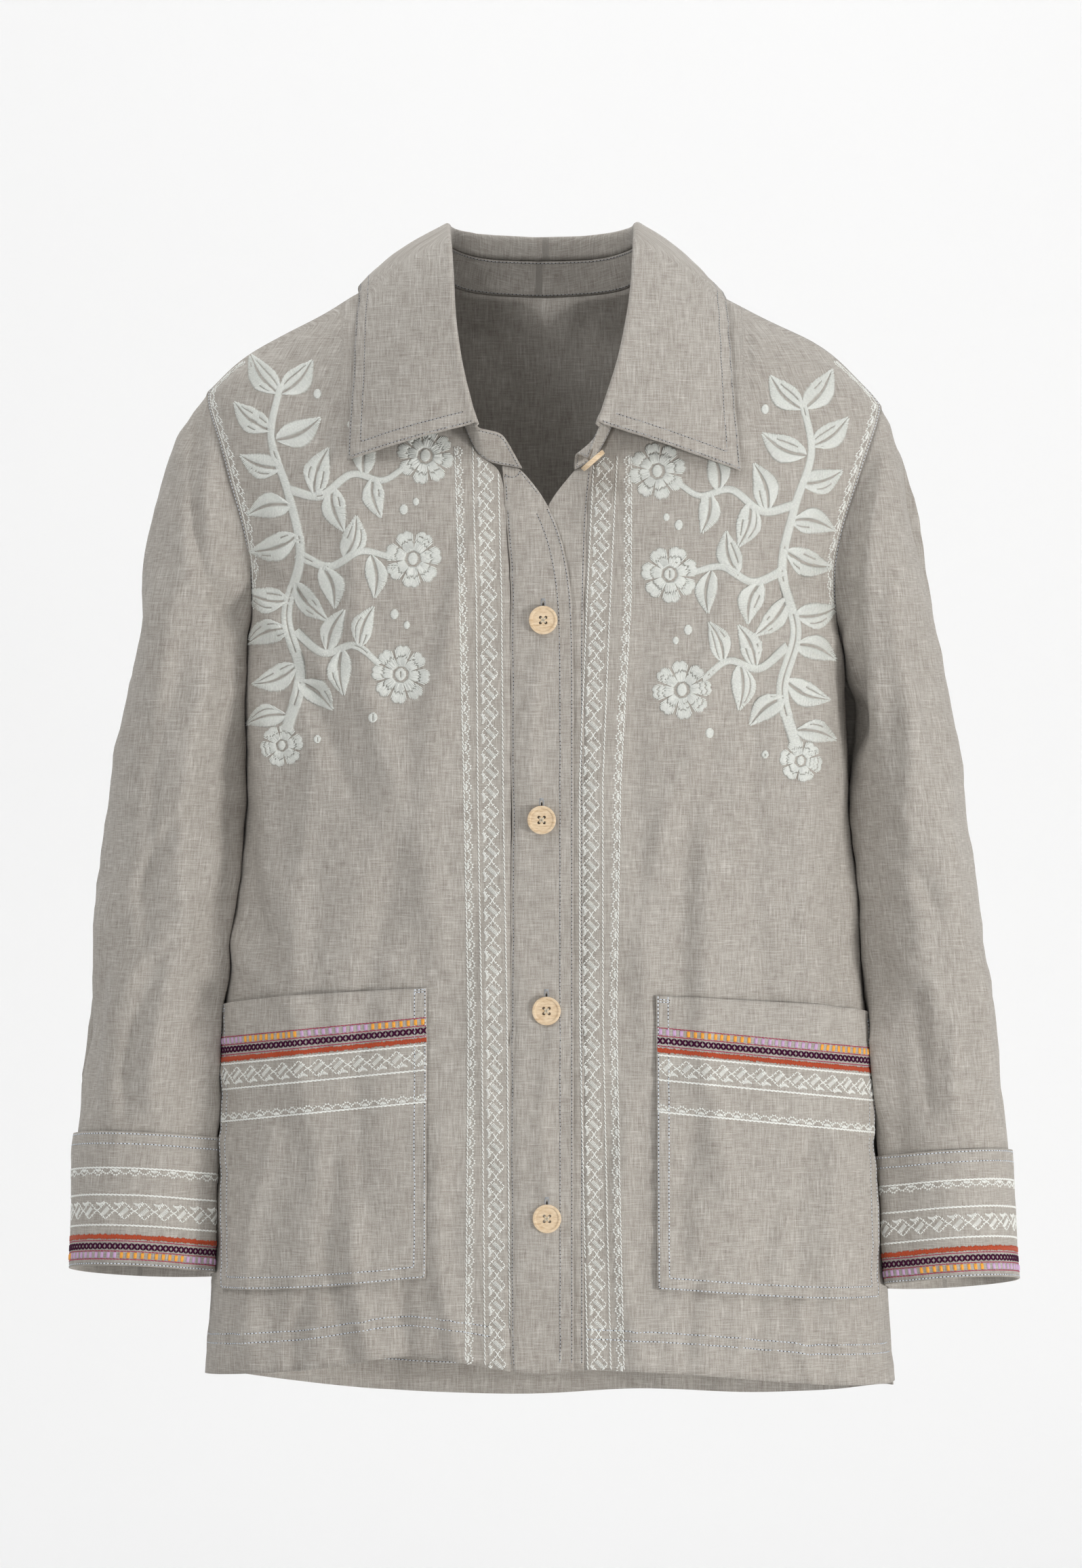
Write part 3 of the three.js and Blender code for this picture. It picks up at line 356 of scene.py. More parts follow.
# The outer skin alone: rim faces hold an edge exactly as long as the wall is thick
def outerSkin(name):
    made = clothPieces[name]
    shape = bmesh.new()
    shape.from_mesh(nodes[name].data)
    bmesh.ops.remove_doubles(shape, verts=shape.verts, dist=skinSizes["weld"])
    wall = made["solid"] * mm
    slack = skinSizes["rimSlack"]
    rim = [f for f in shape.faces if any(abs(e.calc_length() - wall) < slack for e in f.edges)]
    bmesh.ops.delete(shape, geom=rim, context="FACES_ONLY")
    skins = []
    left = set(shape.faces)
    while left:
        skin = {left.pop()}
        edge = list(skin)
        while edge:
            near = {f for e in edge.pop().edges for f in e.link_faces if f in left}
            left -= near
            skin |= near
            edge += near
        skins.append(skin)
    if made["faces"] == "out":
        def outward(f):
            middle = f.calc_center_median()
            return Vector((middle.x, middle.y, 0)).normalized().dot(f.normal) * f.calc_area()
        keep = max(skins, key=lambda skin: sum(outward(f) for f in skin))
    elif made["faces"]:
        facing = Vector(made["faces"])
        keep = max(skins, key=lambda skin: sum((f.normal * f.calc_area()).dot(facing) for f in skin))
    else:
        keep = max(skins, key=lambda skin: sum(f.calc_area() for f in skin))
    bmesh.ops.delete(shape, geom=[f for f in shape.faces if f not in keep], context="FACES")
    loose = [v for v in shape.verts if not v.link_faces]
    bmesh.ops.delete(shape, geom=loose, context="VERTS")
    bmesh.ops.join_triangles(shape, faces=shape.faces, angle_face_threshold=math.pi,
                             angle_shape_threshold=math.pi)
    mesh = bpy.data.meshes.new(name + "_skin")
    shape.to_mesh(mesh)
    shape.free()
    return mesh


# A finer copy by Catmull-Clark, corners kept
def refined(mesh, levels):
    holder = addObject("holder", mesh)
    finer = holder.modifiers.new("finer", "SUBSURF")
    finer.levels = levels
    finer.render_levels = levels
    finer.boundary_smooth = "PRESERVE_CORNERS"
    graph = bpy.context.evaluated_depsgraph_get()
    result = bpy.data.meshes.new_from_object(holder.evaluated_get(graph))
    bpy.data.objects.remove(holder)
    return result


def smoothStep(t):
    t = np.clip(t, 0, 1)
    return t * t * (3 - 2 * t)


def readArrays(mesh):
    places = np.empty(len(mesh.vertices) * 3)
    mesh.vertices.foreach_get("co", places)
    normals = np.empty(len(mesh.vertices) * 3)
    mesh.vertices.foreach_get("normal", normals)
    return places.reshape(-1, 3), normals.reshape(-1, 3)


# Creases: start and end in mm as seen from the front, half width, and depth (above zero stands out). Pieces
# that lie on one another share a table, so that they move together.
creases = {
    "fronts": [
        ((-120, -170), (-92, -330), 12, 1.5), ((-158, -200), (-126, -320), 10, -1.5),
        ((-62, -240), (-68, -430), 14, 1.2), ((-178, -240), (-164, -420), 13, 1.6),
        ((-98, -380), (-116, -600), 13, -1.3), ((-40, -150), (-60, -240), 9, 1.1),
        ((-150, -330), (-146, -560), 12, 1.3), ((-66, -560), (-54, -690), 9, 1.6),
        ((-120, -600), (-108, -694), 10, 1.4), ((-178, -560), (-186, -700), 10, 1.5),
        ((-196, -170), (-146, -206), 8, -1.1), ((-200, -420), (-156, -470), 10, 1.2),
        ((-90, -640), (-84, -696), 8, -1.3), ((-152, -650), (-160, -702), 8, -1.2),
        ((-34, -420), (-30, -560), 9, 0.9), ((2, -230), (-4, -340), 8, 0.7), ((8, -480), (4, -590), 8, 0.7),
        ((124, -180), (102, -360), 12, 1.5), ((160, -205), (134, -330), 10, -1.5),
        ((64, -230), (74, -420), 13, -1.2), ((184, -250), (172, -440), 12, 1.6),
        ((106, -400), (124, -600), 12, 1.4), ((54, -540), (62, -694), 10, 1.5),
        ((150, -600), (142, -706), 10, -1.4), ((190, -560), (196, -706), 10, 1.5),
        ((196, -170), (146, -210), 8, -1.1), ((84, -330), (66, -480), 10, 1.1),
        ((204, -330), (196, -480), 9, -1.2), ((100, -640), (94, -702), 8, -1.3),
        ((168, -650), (174, -706), 8, 1.2), ((140, -330), (150, -470), 11, -1.1),
        ((106, -310), (92, -470), 12, -1.8), ((98, -540), (92, -640), 11, -1.4),
        ((-196, -180), (-128, -260), 9, 1.4), ((-190, -300), (-178, -450), 11, -1.5),
        ((-134, -560), (-126, -690), 11, -1.5), ((176, -540), (166, -640), 11, -1.4),
    ],
    "back": [
        ((-150, -180), (-70, -300), 12, -1.8), ((150, -190), (80, -320), 13, -1.9),
        ((-60, -120), (-20, -330), 14, 1.5), ((70, -110), (40, -300), 14, 1.4),
        ((-120, -380), (-140, -640), 16, 2.0), ((10, -330), (-6, -640), 16, -1.7),
        ((130, -400), (150, -660), 15, 1.9), ((-40, -480), (-56, -700), 12, 1.6),
        ((64, -470), (80, -700), 12, -1.6), ((-180, -220), (-150, -380), 10, 1.8),
        ((184, -230), (160, -400), 10, 1.7), ((-90, -640), (-96, -716), 8, 1.6),
        ((110, -640), (104, -716), 8, 1.6), ((-150, -90), (-90, -130), 10, 1.3),
        ((150, -96), (86, -140), 10, 1.3),
    ],
    "sleeve_left": [
        ((-220, -84), (-226, -150), 7, -2.4), ((-226, -150), (-204, -212), 8, -2.4),
        ((-240, -90), (-248, -260), 12, 1.8), ((-236, -250), (-256, -430), 12, -2.0),
        ((-262, -250), (-282, -460), 11, 1.8), ((-218, -250), (-232, -420), 9, 1.8),
        ((-222, -330), (-266, -400), 8, -1.4), ((-228, -400), (-278, -470), 8, 1.2),
        ((-240, -440), (-252, -545), 9, 1.8), ((-280, -430), (-292, -545), 8, -1.6),
        ((-222, -470), (-232, -545), 7, -1.5), ((-262, -470), (-270, -545), 7, -1.4),
    ],
    "sleeve_right": [
        ((205, -130), (204, -300), 8, -3.6), ((204, -260), (208, -430), 8, -2.6),
        ((220, -110), (222, -300), 8, 2.2), ((246, -120), (262, -330), 12, -1.6),
        ((262, -300), (284, -480), 11, 1.7), ((240, -280), (250, -450), 11, 1.9),
        ((226, -350), (272, -420), 8, -1.3), ((232, -430), (282, -490), 8, 1.1),
        ((244, -460), (256, -555), 9, -1.7), ((284, -450), (294, -555), 7, 1.5),
        ((226, -480), (234, -555), 7, 1.6), ((266, -480), (272, -555), 7, 1.3),
    ],
}
groups = {"front_left": "fronts", "front_right": "fronts", "placket": "fronts", "button_stand": "fronts",
          "pocket_left": "fronts", "pocket_right": "fronts"}
creaseGain = {"fronts": 2.8, "back": 2.4, "sleeve_left": 2.5, "sleeve_right": 2.4}
creaseSizes = {"width": 0.76, "past": 0.35, "bow": 0.05, "fadeIn": 0.5, "fadeOut": 0.6, "farSide": -0.7}
crumples = ((13, 2.8, 0), (34, 1.9, 20), (78, 0.9, 40))     # waves in a metre, height in mm, and shift
crumpleShares = {"collar": 0.34, "cuff": 0.55}      # stiffer pieces crumple less


# How far each point is raised by its creases, both on the side shown and on the far side
def creaseHeight(group, places):
    size = creaseSizes
    past = size["past"]
    height = np.zeros(len(places))
    flat = places[:, [0, 2]] / mm
    tube = group.startswith("sleeve")
    for start, end, width, depth in creases.get(group, []):
        start, end = np.array(start, float), np.array(end, float)
        along = end - start
        length = np.linalg.norm(along)
        share = np.clip(((flat - start) @ along) / (along @ along), -past, 1 + past)
        bow = size["bow"] * length * np.sin(share * math.pi)
        side = np.array([along[1], -along[0]]) / length
        away = (flat - start - share[:, None] * along) @ side - bow
        fade = smoothStep((share + past) / size["fadeIn"]) * smoothStep((1 + past - share) / size["fadeOut"])
        rise = depth * creaseGain[group] * mm * fade * np.exp(-((away / (width * size["width"])) ** 2))
        if tube:  # the far side of a sleeve has the same kind of creases
            rise = rise * np.where(places[:, 1] < -5 * mm, 1.0, size["farSide"])
        height += rise
    return height


def wander(places, scale, seed):
    shift = Vector((seed * 7.3, seed * 3.1, seed * 5.7))
    return np.array([noise.noise(Vector(p) * scale + shift) for p in places])


uvSizes = {
    # m, and shares
    "sleeve": {"top": -0.25, "middle": 0.228, "slant": 0.09, "depth": -0.006, "forward": 0.045,
               "radius": 0.052},
    "collar": {"middle": 0.01, "blend": 0.03, "radius": 0.075, "slope": 0.8},
    "body": {"flat": 0.13, "deep": 0.06, "middle": 0.015, "spread": 0.6},
}


# Cloth coordinates in metres: across the piece, then down it
def clothUv(name, places):
    x, y, z = places.T
    if name.startswith(("sleeve", "cuff")):
        side = -1 if name.endswith("left") else 1
        size = uvSizes["sleeve"]
        below = size["top"] - z
        middleX = side * (size["middle"] + below * size["slant"])
        middleY = size["depth"] - np.clip(below, 0, 1) * size["forward"]
        turn = np.arctan2(x * side - side * middleX, -(y - middleY))
        return np.stack([turn * size["radius"], z], axis=1)
    if name.startswith("collar"):
        size = uvSizes["collar"]
        turn = np.arctan2(x, -(y - size["middle"]))
        reach = np.hypot(x, y - size["middle"])
        onLeaf = smoothStep(-y / size["blend"])
        around = np.stack([turn * size["radius"], z - reach * size["slope"]], axis=1)
        front = np.stack([x, z], axis=1)
        return around * (1 - onLeaf[:, None]) + front * onLeaf[:, None]
    size = uvSizes["body"]
    flat, deep = size["flat"], size["deep"]
    past = np.abs(x) - flat + np.maximum(0.0, deep - np.abs(y + size["middle"])) * size["spread"]
    wide = np.where(np.abs(x) < flat, x, np.sign(x) * (flat + past))
    return np.stack([wide, z], axis=1)


def addUv(mesh, name):
    places, _ = readArrays(mesh)
    uv = clothUv(name, places)
    layer = mesh.uv_layers.new(name="cloth")
    corner = np.empty(len(mesh.loops), dtype=np.int32)
    mesh.loops.foreach_get("vertex_index", corner)
    layer.data.foreach_set("uv", uv[corner].ravel())


skins = {}      # the finished outer skins, which stitches are laid on
borders = {}    # each skin's open edge, as ordered runs of points


def borderRuns(mesh):
    shape = bmesh.new()
    shape.from_mesh(mesh)
    rim = {e for e in shape.edges if e.is_boundary}
    runs = []
    while rim:
        edge = rim.pop()
        run = [edge.verts[0], edge.verts[1]]
        going = True
        while going:
            following = [e for e in run[-1].link_edges if e in rim]
            going = bool(following)
            if going:
                rim.discard(following[0])
                run.append(following[0].other_vert(run[-1]))
        runs.append([v.co.copy() for v in run])
    shape.free()
    return runs


# Where a sleeve hangs close beside the body, its cloth rests against it. Sizes and heights in mm.
resting = {"near": 8.0, "far": 20.0, "gap": 0.45, "underCuff": 1.9, "cuffTop": -541, "cuffIn": -548,
           "rounds": 8, "start": 30.0, "top": -120, "fade": 60, "turned": 0.15, "turnedFade": 0.5,
           "pieces": ("front_left", "front_right", "back", "pocket_left", "pocket_right")}


def restOnBody(name, places, normals):
    size = resting
    way = Vector((1 if name.endswith("left") else -1, 0, 0))
    body = [skins[piece] for piece in size["pieces"]]
    back = size["start"] * mm
    height = places[:, 2] / mm
    room = np.full(len(places), 1.0)
    share = (smoothStep((normals[:, 0] * way.x - size["turned"]) / size["turnedFade"])
             * smoothStep((size["top"] - height) / size["fade"]))
    for number in np.flatnonzero(share > 0):
        gaps = [skin.ray_cast(Vector(places[number]) - way * back, way)[3] for skin in body]
        gaps = [gap - back for gap in gaps if gap is not None]
        if gaps:
            room[number] = min(gaps)
    gap = size["gap"] + np.zeros(len(places))
    if name.startswith("sleeve"):  # the cuff lies between
        under = (size["cuffTop"] - height) / (size["cuffTop"] - size["cuffIn"])
        gap += size["underCuff"] * smoothStep(under)
    room -= gap * mm
    near, far = size["near"] * mm, size["far"] * mm
    shift = room * (1 - smoothStep((room - near) / (far - near))) * share
    ends = np.array([tuple(e.vertices) for e in skinMeshes[name].edges])
    for _ in range(size["rounds"]):
        total, count = np.zeros(len(places)), np.zeros(len(places))
        for first, last in ((0, 1), (1, 0)):
            np.add.at(total, ends[:, first], shift[ends[:, last]])
            np.add.at(count, ends[:, first], 1)
        shift = np.minimum(0.5 * shift + 0.5 * total / np.maximum(count, 1), room)
    rested = places.copy()
    rested[:, 0] += way.x * np.where(share > 0, shift, 0)
    return rested


# mm
fading = {"reach": 16, "cuff": -548, "cuffFade": 26, "collar": -112, "collarHalf": 136, "side": 186,
          "hem": -690, "neck": -90}


# Where the creases fade out, so that seams stay together and layers don't meet
def creaseShare(name, places):
    size = fading
    x, _, z = places.T / mm
    if name.startswith("sleeve"):
        return edgeFade(places, edgePoints(name)) * smoothStep((z - size["cuff"]) / size["cuffFade"])
    if groups.get(name) == "fronts":
        underCollar = smoothStep((size["collar"] - z) / size["cuffFade"])
        clear = np.where(np.abs(x) < size["collarHalf"], underCollar, 1.0)
        return edgeFade(places, frontEdgePoints()) * clear
    return edgeFade(places, edgePoints(name))


def edgePoints(name):
    return np.array([tuple(p) for run in borders[name] for p in run])


# The seams that join the fronts to the back and the sleeves, and the neck
def frontEdgePoints():
    points = np.concatenate([edgePoints("front_left"), edgePoints("front_right")])
    across, up = np.abs(points[:, 0]) / mm, points[:, 2] / mm
    return points[(across > fading["side"]) & (up > fading["hem"]) | (up > fading["neck"])]


def edgeFade(places, points):
    gaps = [gapsTo(part, points).min(axis=1) for part in parted(places)]
    return smoothStep(np.concatenate(gaps) / (fading["reach"] * mm))


def parted(places):
    return [places[start:start + 2000] for start in range(0, len(places), 2000)]


def gapsTo(places, points):
    return np.sqrt(((places[:, None, :] - points[None, :, :]) ** 2).sum(axis=2))


# Sewing along edges: piece, which part of its edge (mm), distances in from the edge, and how much it puckers
# the cloth
sewing = [
    ("front_left", lambda p: p[2] < -688, (20, 26), 0.9),
    ("front_right", lambda p: p[2] < -694, (20, 26), 0.9),
    ("back", lambda p: p[2] < -700, (20, 26), 0.9),
    ("front_left", lambda p: p[0] < -186 and -232 < p[2] < -62, (1.4,), 0),
    ("front_right", lambda p: p[0] > 186 and -232 < p[2] < -62, (1.4,), 0),
    ("placket", lambda p: p[0] < 0 and -694 < p[2] < -120, (1.6,), 0.5),
    ("placket", lambda p: p[0] > 4 and -694 < p[2] < -130, (1.4, 9.0), 0.5),
    ("button_stand", lambda p: p[0] > 24 and -694 < p[2] < -118, (1.6,), 0.4),
    ("pocket_left", lambda p: p[0] < -206 or p[0] > -75 or p[2] < -620, (1.2, 8.0), 0.7),
    ("pocket_right", lambda p: p[0] < 74.5 or p[0] > 213.5 or p[2] < -620, (1.2, 8.0), 0.7),
    ("cuff_left", lambda p: p[2] > -600, (1.5, 8.0), 0.8),
    ("cuff_right", lambda p: p[2] > -600, (1.5, 8.0), 0.8),
    ("cuff_left", lambda p: p[2] < -600, (1.3,), 0.4), ("cuff_right", lambda p: p[2] < -600, (1.3,), 0.4),
    ("collar", lambda p: p[2] < -84 or abs(p[0]) > 70 or p[1] > 68, (1.5, 9.0), 0.7),
    ("collar_stand", lambda p: True, (1.4,), 0),
]


# The longest run of a piece's edge points that are kept
def edgeRun(name, keep):
    best = []
    for run in borders[name]:
        points = np.array([tuple(p) for p in run])
        kept = np.array([bool(keep(p / mm)) for p in points])
        if kept.all():
            chosen = points
        elif kept.any():
            first = int(np.argmin(kept))
            points, kept = np.roll(points, -first, axis=0), np.roll(kept, -first)
            chosen = points[kept]
        else:
            chosen = points[:0]
        if len(chosen) > len(best):
            best = chosen
    return best


# Short puckers that a row of stitches draws up, beside an edge
puckerSizes = {"wave": 95, "step": 4 * mm, "reach": 6.0 * mm, "gain": 2.2}


def puckerHeight(name, places):
    size = puckerSizes
    height = np.zeros(len(places))
    for piece, keep, distances, depth in sewing:
        run = edgeRun(name, keep) if piece == name and depth else []
        if len(run) > 3:
            run = evenly(run, size["step"])
            middle = np.mean(distances) * mm
            waves = np.array([noise.noise(Vector((k * size["step"] * size["wave"], len(run) * 0.37, 2.0)))
                              for k in range(len(run))])
            rises = []
            for part in parted(places):
                gaps = gapsTo(part, run)
                nearest, gap = gaps.argmin(axis=1), gaps.min(axis=1)
                rises.append(waves[nearest] * np.exp(-((gap - middle) / size["reach"]) ** 2))
            height += depth * size["gain"] * mm * np.concatenate(rises)
    return height


# Panels reach a little over their seams, so that no light comes through
seamReach = 0.3
seamed = ("back", "front_left", "front_right", "sleeve_left", "sleeve_right")


def reachOver(mesh):
    shape = bmesh.new()
    shape.from_mesh(mesh)
    ways = {}
    for e in shape.edges:
        if e.is_boundary:
            face = e.link_faces[0]
            first, last = e.verts
            out = (last.co - first.co).cross(face.normal).normalized()
            if out.dot((first.co + last.co) / 2 - face.calc_center_median()) < 0:
                out = -out
            for v in (first, last):
                ways[v] = ways.get(v, Vector()) + out
    for v, way in ways.items():
        v.co += way.normalized() * seamReach * mm
    shape.to_mesh(mesh)
    shape.free()


skinMeshes = {}     # fine outer skins, before and after creasing


def cutCloth(name):
    skinMeshes[name] = refined(outerSkin(name), clothPieces[name]["levels"])
    if name in seamed:
        reachOver(skinMeshes[name])
    borders[name] = borderRuns(skinMeshes[name])


def addCloth(name, linen):
    made = clothPieces[name]
    mesh = skinMeshes[name]
    places, normals = readArrays(mesh)
    group = groups.get(name, name)
    seed = len(group) * 1.7 + (3.3 if name.endswith("right") and group == name else 0)
    lift = creaseHeight(group, places)
    for waves, high, shift in crumples:
        lift = lift + wander(places, waves, seed + shift) * high * mm
    for kind, share in crumpleShares.items():
        if name.startswith(kind):
            lift = lift * share
    places = places + normals * (lift * creaseShare(name, places) + puckerHeight(name, places))[:, None]
    if name.startswith(("sleeve", "cuff")):
        places = restOnBody(name, places, normals)
    mesh.vertices.foreach_set("co", places.ravel())
    mesh.update()
    addUv(mesh, name)
    mesh.name = name + "_cloth"
    mesh.shade_smooth()
    mesh.materials.clear()
    mesh.materials.append(linen)
    piece = addObject("cloth_" + name, mesh)
    skins[name] = BVHTree.FromPolygons([Vector(p) for p in places], [list(f.vertices) for f in mesh.polygons])
    borders[name] = borderRuns(mesh)
    wall = piece.modifiers.new("wall", "SOLIDIFY")
    wall.thickness = made["wall"] * mm
    wall.offset = -1
    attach(piece, "root")
    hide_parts(name)
    return piece


# Thread: every stitch is a small spindle, half sunk in the cloth, laid from point to point on a skin
def stitchTemplate(sides, rings):
    shape = bmesh.new()
    bmesh.ops.create_uvsphere(shape, u_segments=sides, v_segments=rings, radius=0.5)
    bmesh.ops.rotate(shape, verts=shape.verts, matrix=Matrix.Rotation(math.pi / 2, 3, "Y"))
    bmesh.ops.rotate(shape, verts=shape.verts, matrix=Matrix.Rotation(math.pi / 4, 3, "X"))
    for v in shape.verts:  # fuller towards the ends than a ball is
        if abs(v.co.x) < 0.45:
            v.co.x *= 1.25
            v.co.yz *= 1.15
    points = np.array([tuple(v.co) for v in shape.verts])
    corners = np.array([v.index for f in shape.faces for v in f.verts])
    sizes = np.array([len(f.verts) for f in shape.faces])
    shape.free()
    return points, corners, np.concatenate([[0], np.cumsum(sizes)[:-1]])


templates = {"thread": stitchTemplate(4, 3), "seam": stitchTemplate(3, 3), "paleSeam": stitchTemplate(3, 3),
             "needle": stitchTemplate(3, 2)}
laid = {}       # rows of stitches, by the piece's name and its thread
stitchLimits = {"shortest": 0.1 * mm, "longest": 16 * mm, "bulge": 0.12 * mm}


def lay(piece, thread, start, end, normal, width=0.8, height=0.5):
    laid.setdefault((piece, thread), []).append((*start, *end, *normal, width * mm, height * mm))


# A point seen in the photo, in mm across and up from the origin, found on a piece's skin or on one beside it
eye = Vector((view["centreX"], -view["distance"], view["centreZ"]))
beside = {"front_right": ("front_right", "button_stand")}


def seen(name, across, up):
    way = (Vector((across * mm, view["planeY"], up * mm)) - eye).normalized()
    for piece in beside.get(name, (name,)):
        place, normal, _, _ = skins[piece].ray_cast(eye, way)
        if place is not None:
            return place, normal if normal.y < 0 else -normal
    return None, None


# A stitch from one found point to another; none is laid where the cloth ends
def layBetween(name, thread, start, end, normal, width, height):
    if start is None or end is None:
        return
    if stitchLimits["shortest"] < (end - start).length < stitchLimits["longest"]:
        lay(name, thread, start, end, normal, width, height)


# A stitch that would sink where the cloth bulges is taken down again at its middle
def layFlat(name, thread, first, last, width=0.8, height=0.5):
    start, normal = seen(name, *first)
    end = seen(name, *last)[0]
    half = seen(name, (first[0] + last[0]) / 2, (first[1] + last[1]) / 2)[0]
    found = start is not None and end is not None and half is not None
    if found and (half - (start + end) / 2).dot(normal) > stitchLimits["bulge"]:
        layBetween(name, thread, start, half, normal, width, height)
        layBetween(name, thread, half, end, normal, width, height)
    else:
        layBetween(name, thread, start, end, normal, width, height)


def build(piece, thread, material):
    rows = np.array(laid[(piece, thread)])
    template, templateCorners, templateStarts = templates.get(thread, templates["thread"])
    starts, ends, normals = rows[:, 0:3], rows[:, 3:6], rows[:, 6:9]
    along = ends - starts
    length = np.linalg.norm(along, axis=1, keepdims=True)
    along /= length
    side = np.cross(normals, along)
    side /= np.linalg.norm(side, axis=1, keepdims=True)
    up = np.cross(along, side)
    middle = (starts + ends) / 2
    x, y, z = template.T
    width, height = rows[:, 9:10], rows[:, 10:11] * 2
    points = (middle[:, None, :] + (x[None, :] * length)[..., None] * along[:, None, :]
              + (y[None, :] * width)[..., None] * side[:, None, :]
              + (z[None, :] * height)[..., None] * up[:, None, :])
    count, size = len(rows), len(template)
    mesh = bpy.data.meshes.new(f"thread_{piece}_{thread}")
    mesh.vertices.add(count * size)
    mesh.vertices.foreach_set("co", points.ravel())
    shift = np.arange(count)[:, None]
    mesh.loops.add(count * len(templateCorners))
    corners = (templateCorners[None, :] + shift * size).ravel()
    mesh.loops.foreach_set("vertex_index", corners.astype(np.int32))
    mesh.polygons.add(count * len(templateStarts))
    faceStarts = (templateStarts[None, :] + shift * len(templateCorners)).ravel()
    mesh.polygons.foreach_set("loop_start", faceStarts.astype(np.int32))
    mesh.update(calc_edges=True)
    mesh.shade_smooth()
    mesh.materials.append(material)
    threadPiece = addObject(f"thread_{piece}_{thread}", mesh)
    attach(threadPiece, "root")
    return threadPiece


# Smooth curve through points, as evenly spaced points
def smoothPath(points, step):
    points = [np.array(p, float) for p in points]
    padded = [2 * points[0] - points[1]] + points + [2 * points[-1] - points[-2]]
    fine = []
    for a, b, c, d in zip(padded, padded[1:], padded[2:], padded[3:]):
        for share in np.linspace(0, 1, 16, endpoint=False):
            fine.append(0.5 * (2 * b + (c - a) * share + (2 * a - 5 * b + 4 * c - d) * share ** 2
                               + (3 * b - a - 3 * c + d) * share ** 3))
    fine.append(points[-1])
    return evenly(np.array(fine), step)


def evenly(points, step):
    lengths = np.linalg.norm(np.diff(points, axis=0), axis=1)
    total = np.concatenate([[0], np.cumsum(lengths)])
    count = max(int(round(total[-1] / step)), 1)
    stations = np.linspace(0, total[-1], count + 1)
    return np.stack([np.interp(stations, total, points[:, k]) for k in range(points.shape[1])], axis=1)


# Border ornaments. A strip maps (along, aside) in mm to a place on the cloth; aside grows to the strip's left
# when one looks along it.
class FrontStrip:
    # runs down a front: table of (up, across) in photo mm
    def __init__(self, name, line):
        self.name = name
        ups, acrosses = zip(*sorted(line))
        self.ups, self.acrosses = ups, acrosses
        self.top, self.length = max(ups), max(ups) - min(ups)

    def find(self, along, aside):
        up = self.top - along
        return seen(self.name, np.interp(up, self.ups, self.acrosses) + aside, up)


class Band:
    # runs along a pocket or round a cuff: rows of points at given depths, each evenly spaced
    def __init__(self, name, rows, depths):
        self.name = name
        self.rows = rows
        self.depths = np.array(depths)
        self.lengths = []
        self.totals = []
        for row in rows:
            total = np.concatenate([[0], np.cumsum(np.linalg.norm(np.diff(row, axis=0), axis=1))]) / mm
            self.totals.append(total)
            self.lengths.append(total[-1])
        self.length = float(np.mean(self.lengths))

    def at(self, index, share):
        total = self.totals[index]
        return np.array([np.interp(share * total[-1], total, self.rows[index][:, k]) for k in range(3)])

    def find(self, along, aside):
        place = np.interp(aside, self.depths, np.arange(len(self.depths)))
        low = min(int(place), len(self.depths) - 2)
        share = np.clip(along / self.length, 0, 1)
        point = self.at(low, share) * (1 - place + low) + self.at(low + 1, share) * (place - low)
        spot, normal, _, _ = skins[self.name].find_nearest(Vector(point))
        return spot, normal


def layOn(strip, thread, first, last, width=0.8, height=0.5):
    start, normal = strip.find(*first)
    layBetween(strip.name, thread, start, strip.find(*last)[0], normal, width, height)


borderSizes = {"pitch": 2.9, "slant": 0.45, "width": 0.95, "height": 0.5, "lap": 0.05, "wideLap": 0.22,
               "cell": 12.9, "half": 5.5}
tickSizes = {"length": 2.1, "width": 0.86, "from": 0.04, "to": 0.98, "at": 0.8, "height": 0.38,
             "tickHeight": 0.42}


# A border stitch that reaches as far to both sides of a middle point
def layAcross(strip, middle, reach, width, height):
    middle, reach = np.array(middle), np.array(reach)
    layOn(strip, "border", middle - reach, middle + reach, width, height)


# Rope-like line of slanted stitches
def ropeLine(strip, aside, thread="border", scale=1.0, slant=1.0, wide=1.0):
    size = borderSizes
    count = int(round(strip.length / (size["pitch"] * scale)))
    step = strip.length / count
    lean = size["slant"] * slant * scale
    lap = size["lap"] if wide == 1.0 else size["wideLap"]
    for number in range(count):
        start = number * step
        layOn(strip, thread, (start - lap * step, aside - lean), (start + (1 + lap) * step, aside + lean),
              size["width"] * scale * wide, size["height"] * scale)


# Line of crossing ticks from one corner to the next
def tickedLine(strip, first, last, ticks=2):
    size = tickSizes
    first, last = np.array(first, float), np.array(last, float)
    along = (last - first) / np.linalg.norm(last - first)
    across = np.array([-along[1], along[0]]) * size["length"] / 2
    parts = ticks + 1
    for number in range(parts):
        start = first + (last - first) * (number + size["from"]) / parts
        end = first + (last - first) * (number + size["to"]) / parts
        layOn(strip, "border", start, end, size["width"], size["height"])
    for number in range(ticks):
        middle = first + (last - first) * (number + size["at"]) / parts
        layAcross(strip, middle, across, size["width"], size["tickHeight"])


# One lattice diamond with a satin block in it and a small wing beside it
diamondSizes = {
    "rise": 0.93,
    # satin block and the short stitches beside it: how many, pitch, reach, width and height
    "block": (7, 0.56, 1.25, 0.62, 0.46), "blockShift": -0.1,
    "flank": (3, 0.62, 0.9, 0.64, 0.4), "flankFrom": 2.5, "flankLean": (0.8, 0.86), "flankTaper": 0.12,
    # wing: how many, and its run along the cell and off the middle
    "wing": 7, "wingFrom": 0.10, "wingRun": 0.42, "wingOut": 0.98, "wingIn": 0.12, "wingBow": 1.1,
    "wingTurn": 3.2, "wingHalf": (0.55, 0.65, 0.4, 2.4), "wingLean": (-0.1, 0.25), "wingStitch": (0.92, 0.46),
    "cross": 0.9, "crossStitch": (0.76, 0.44),
}


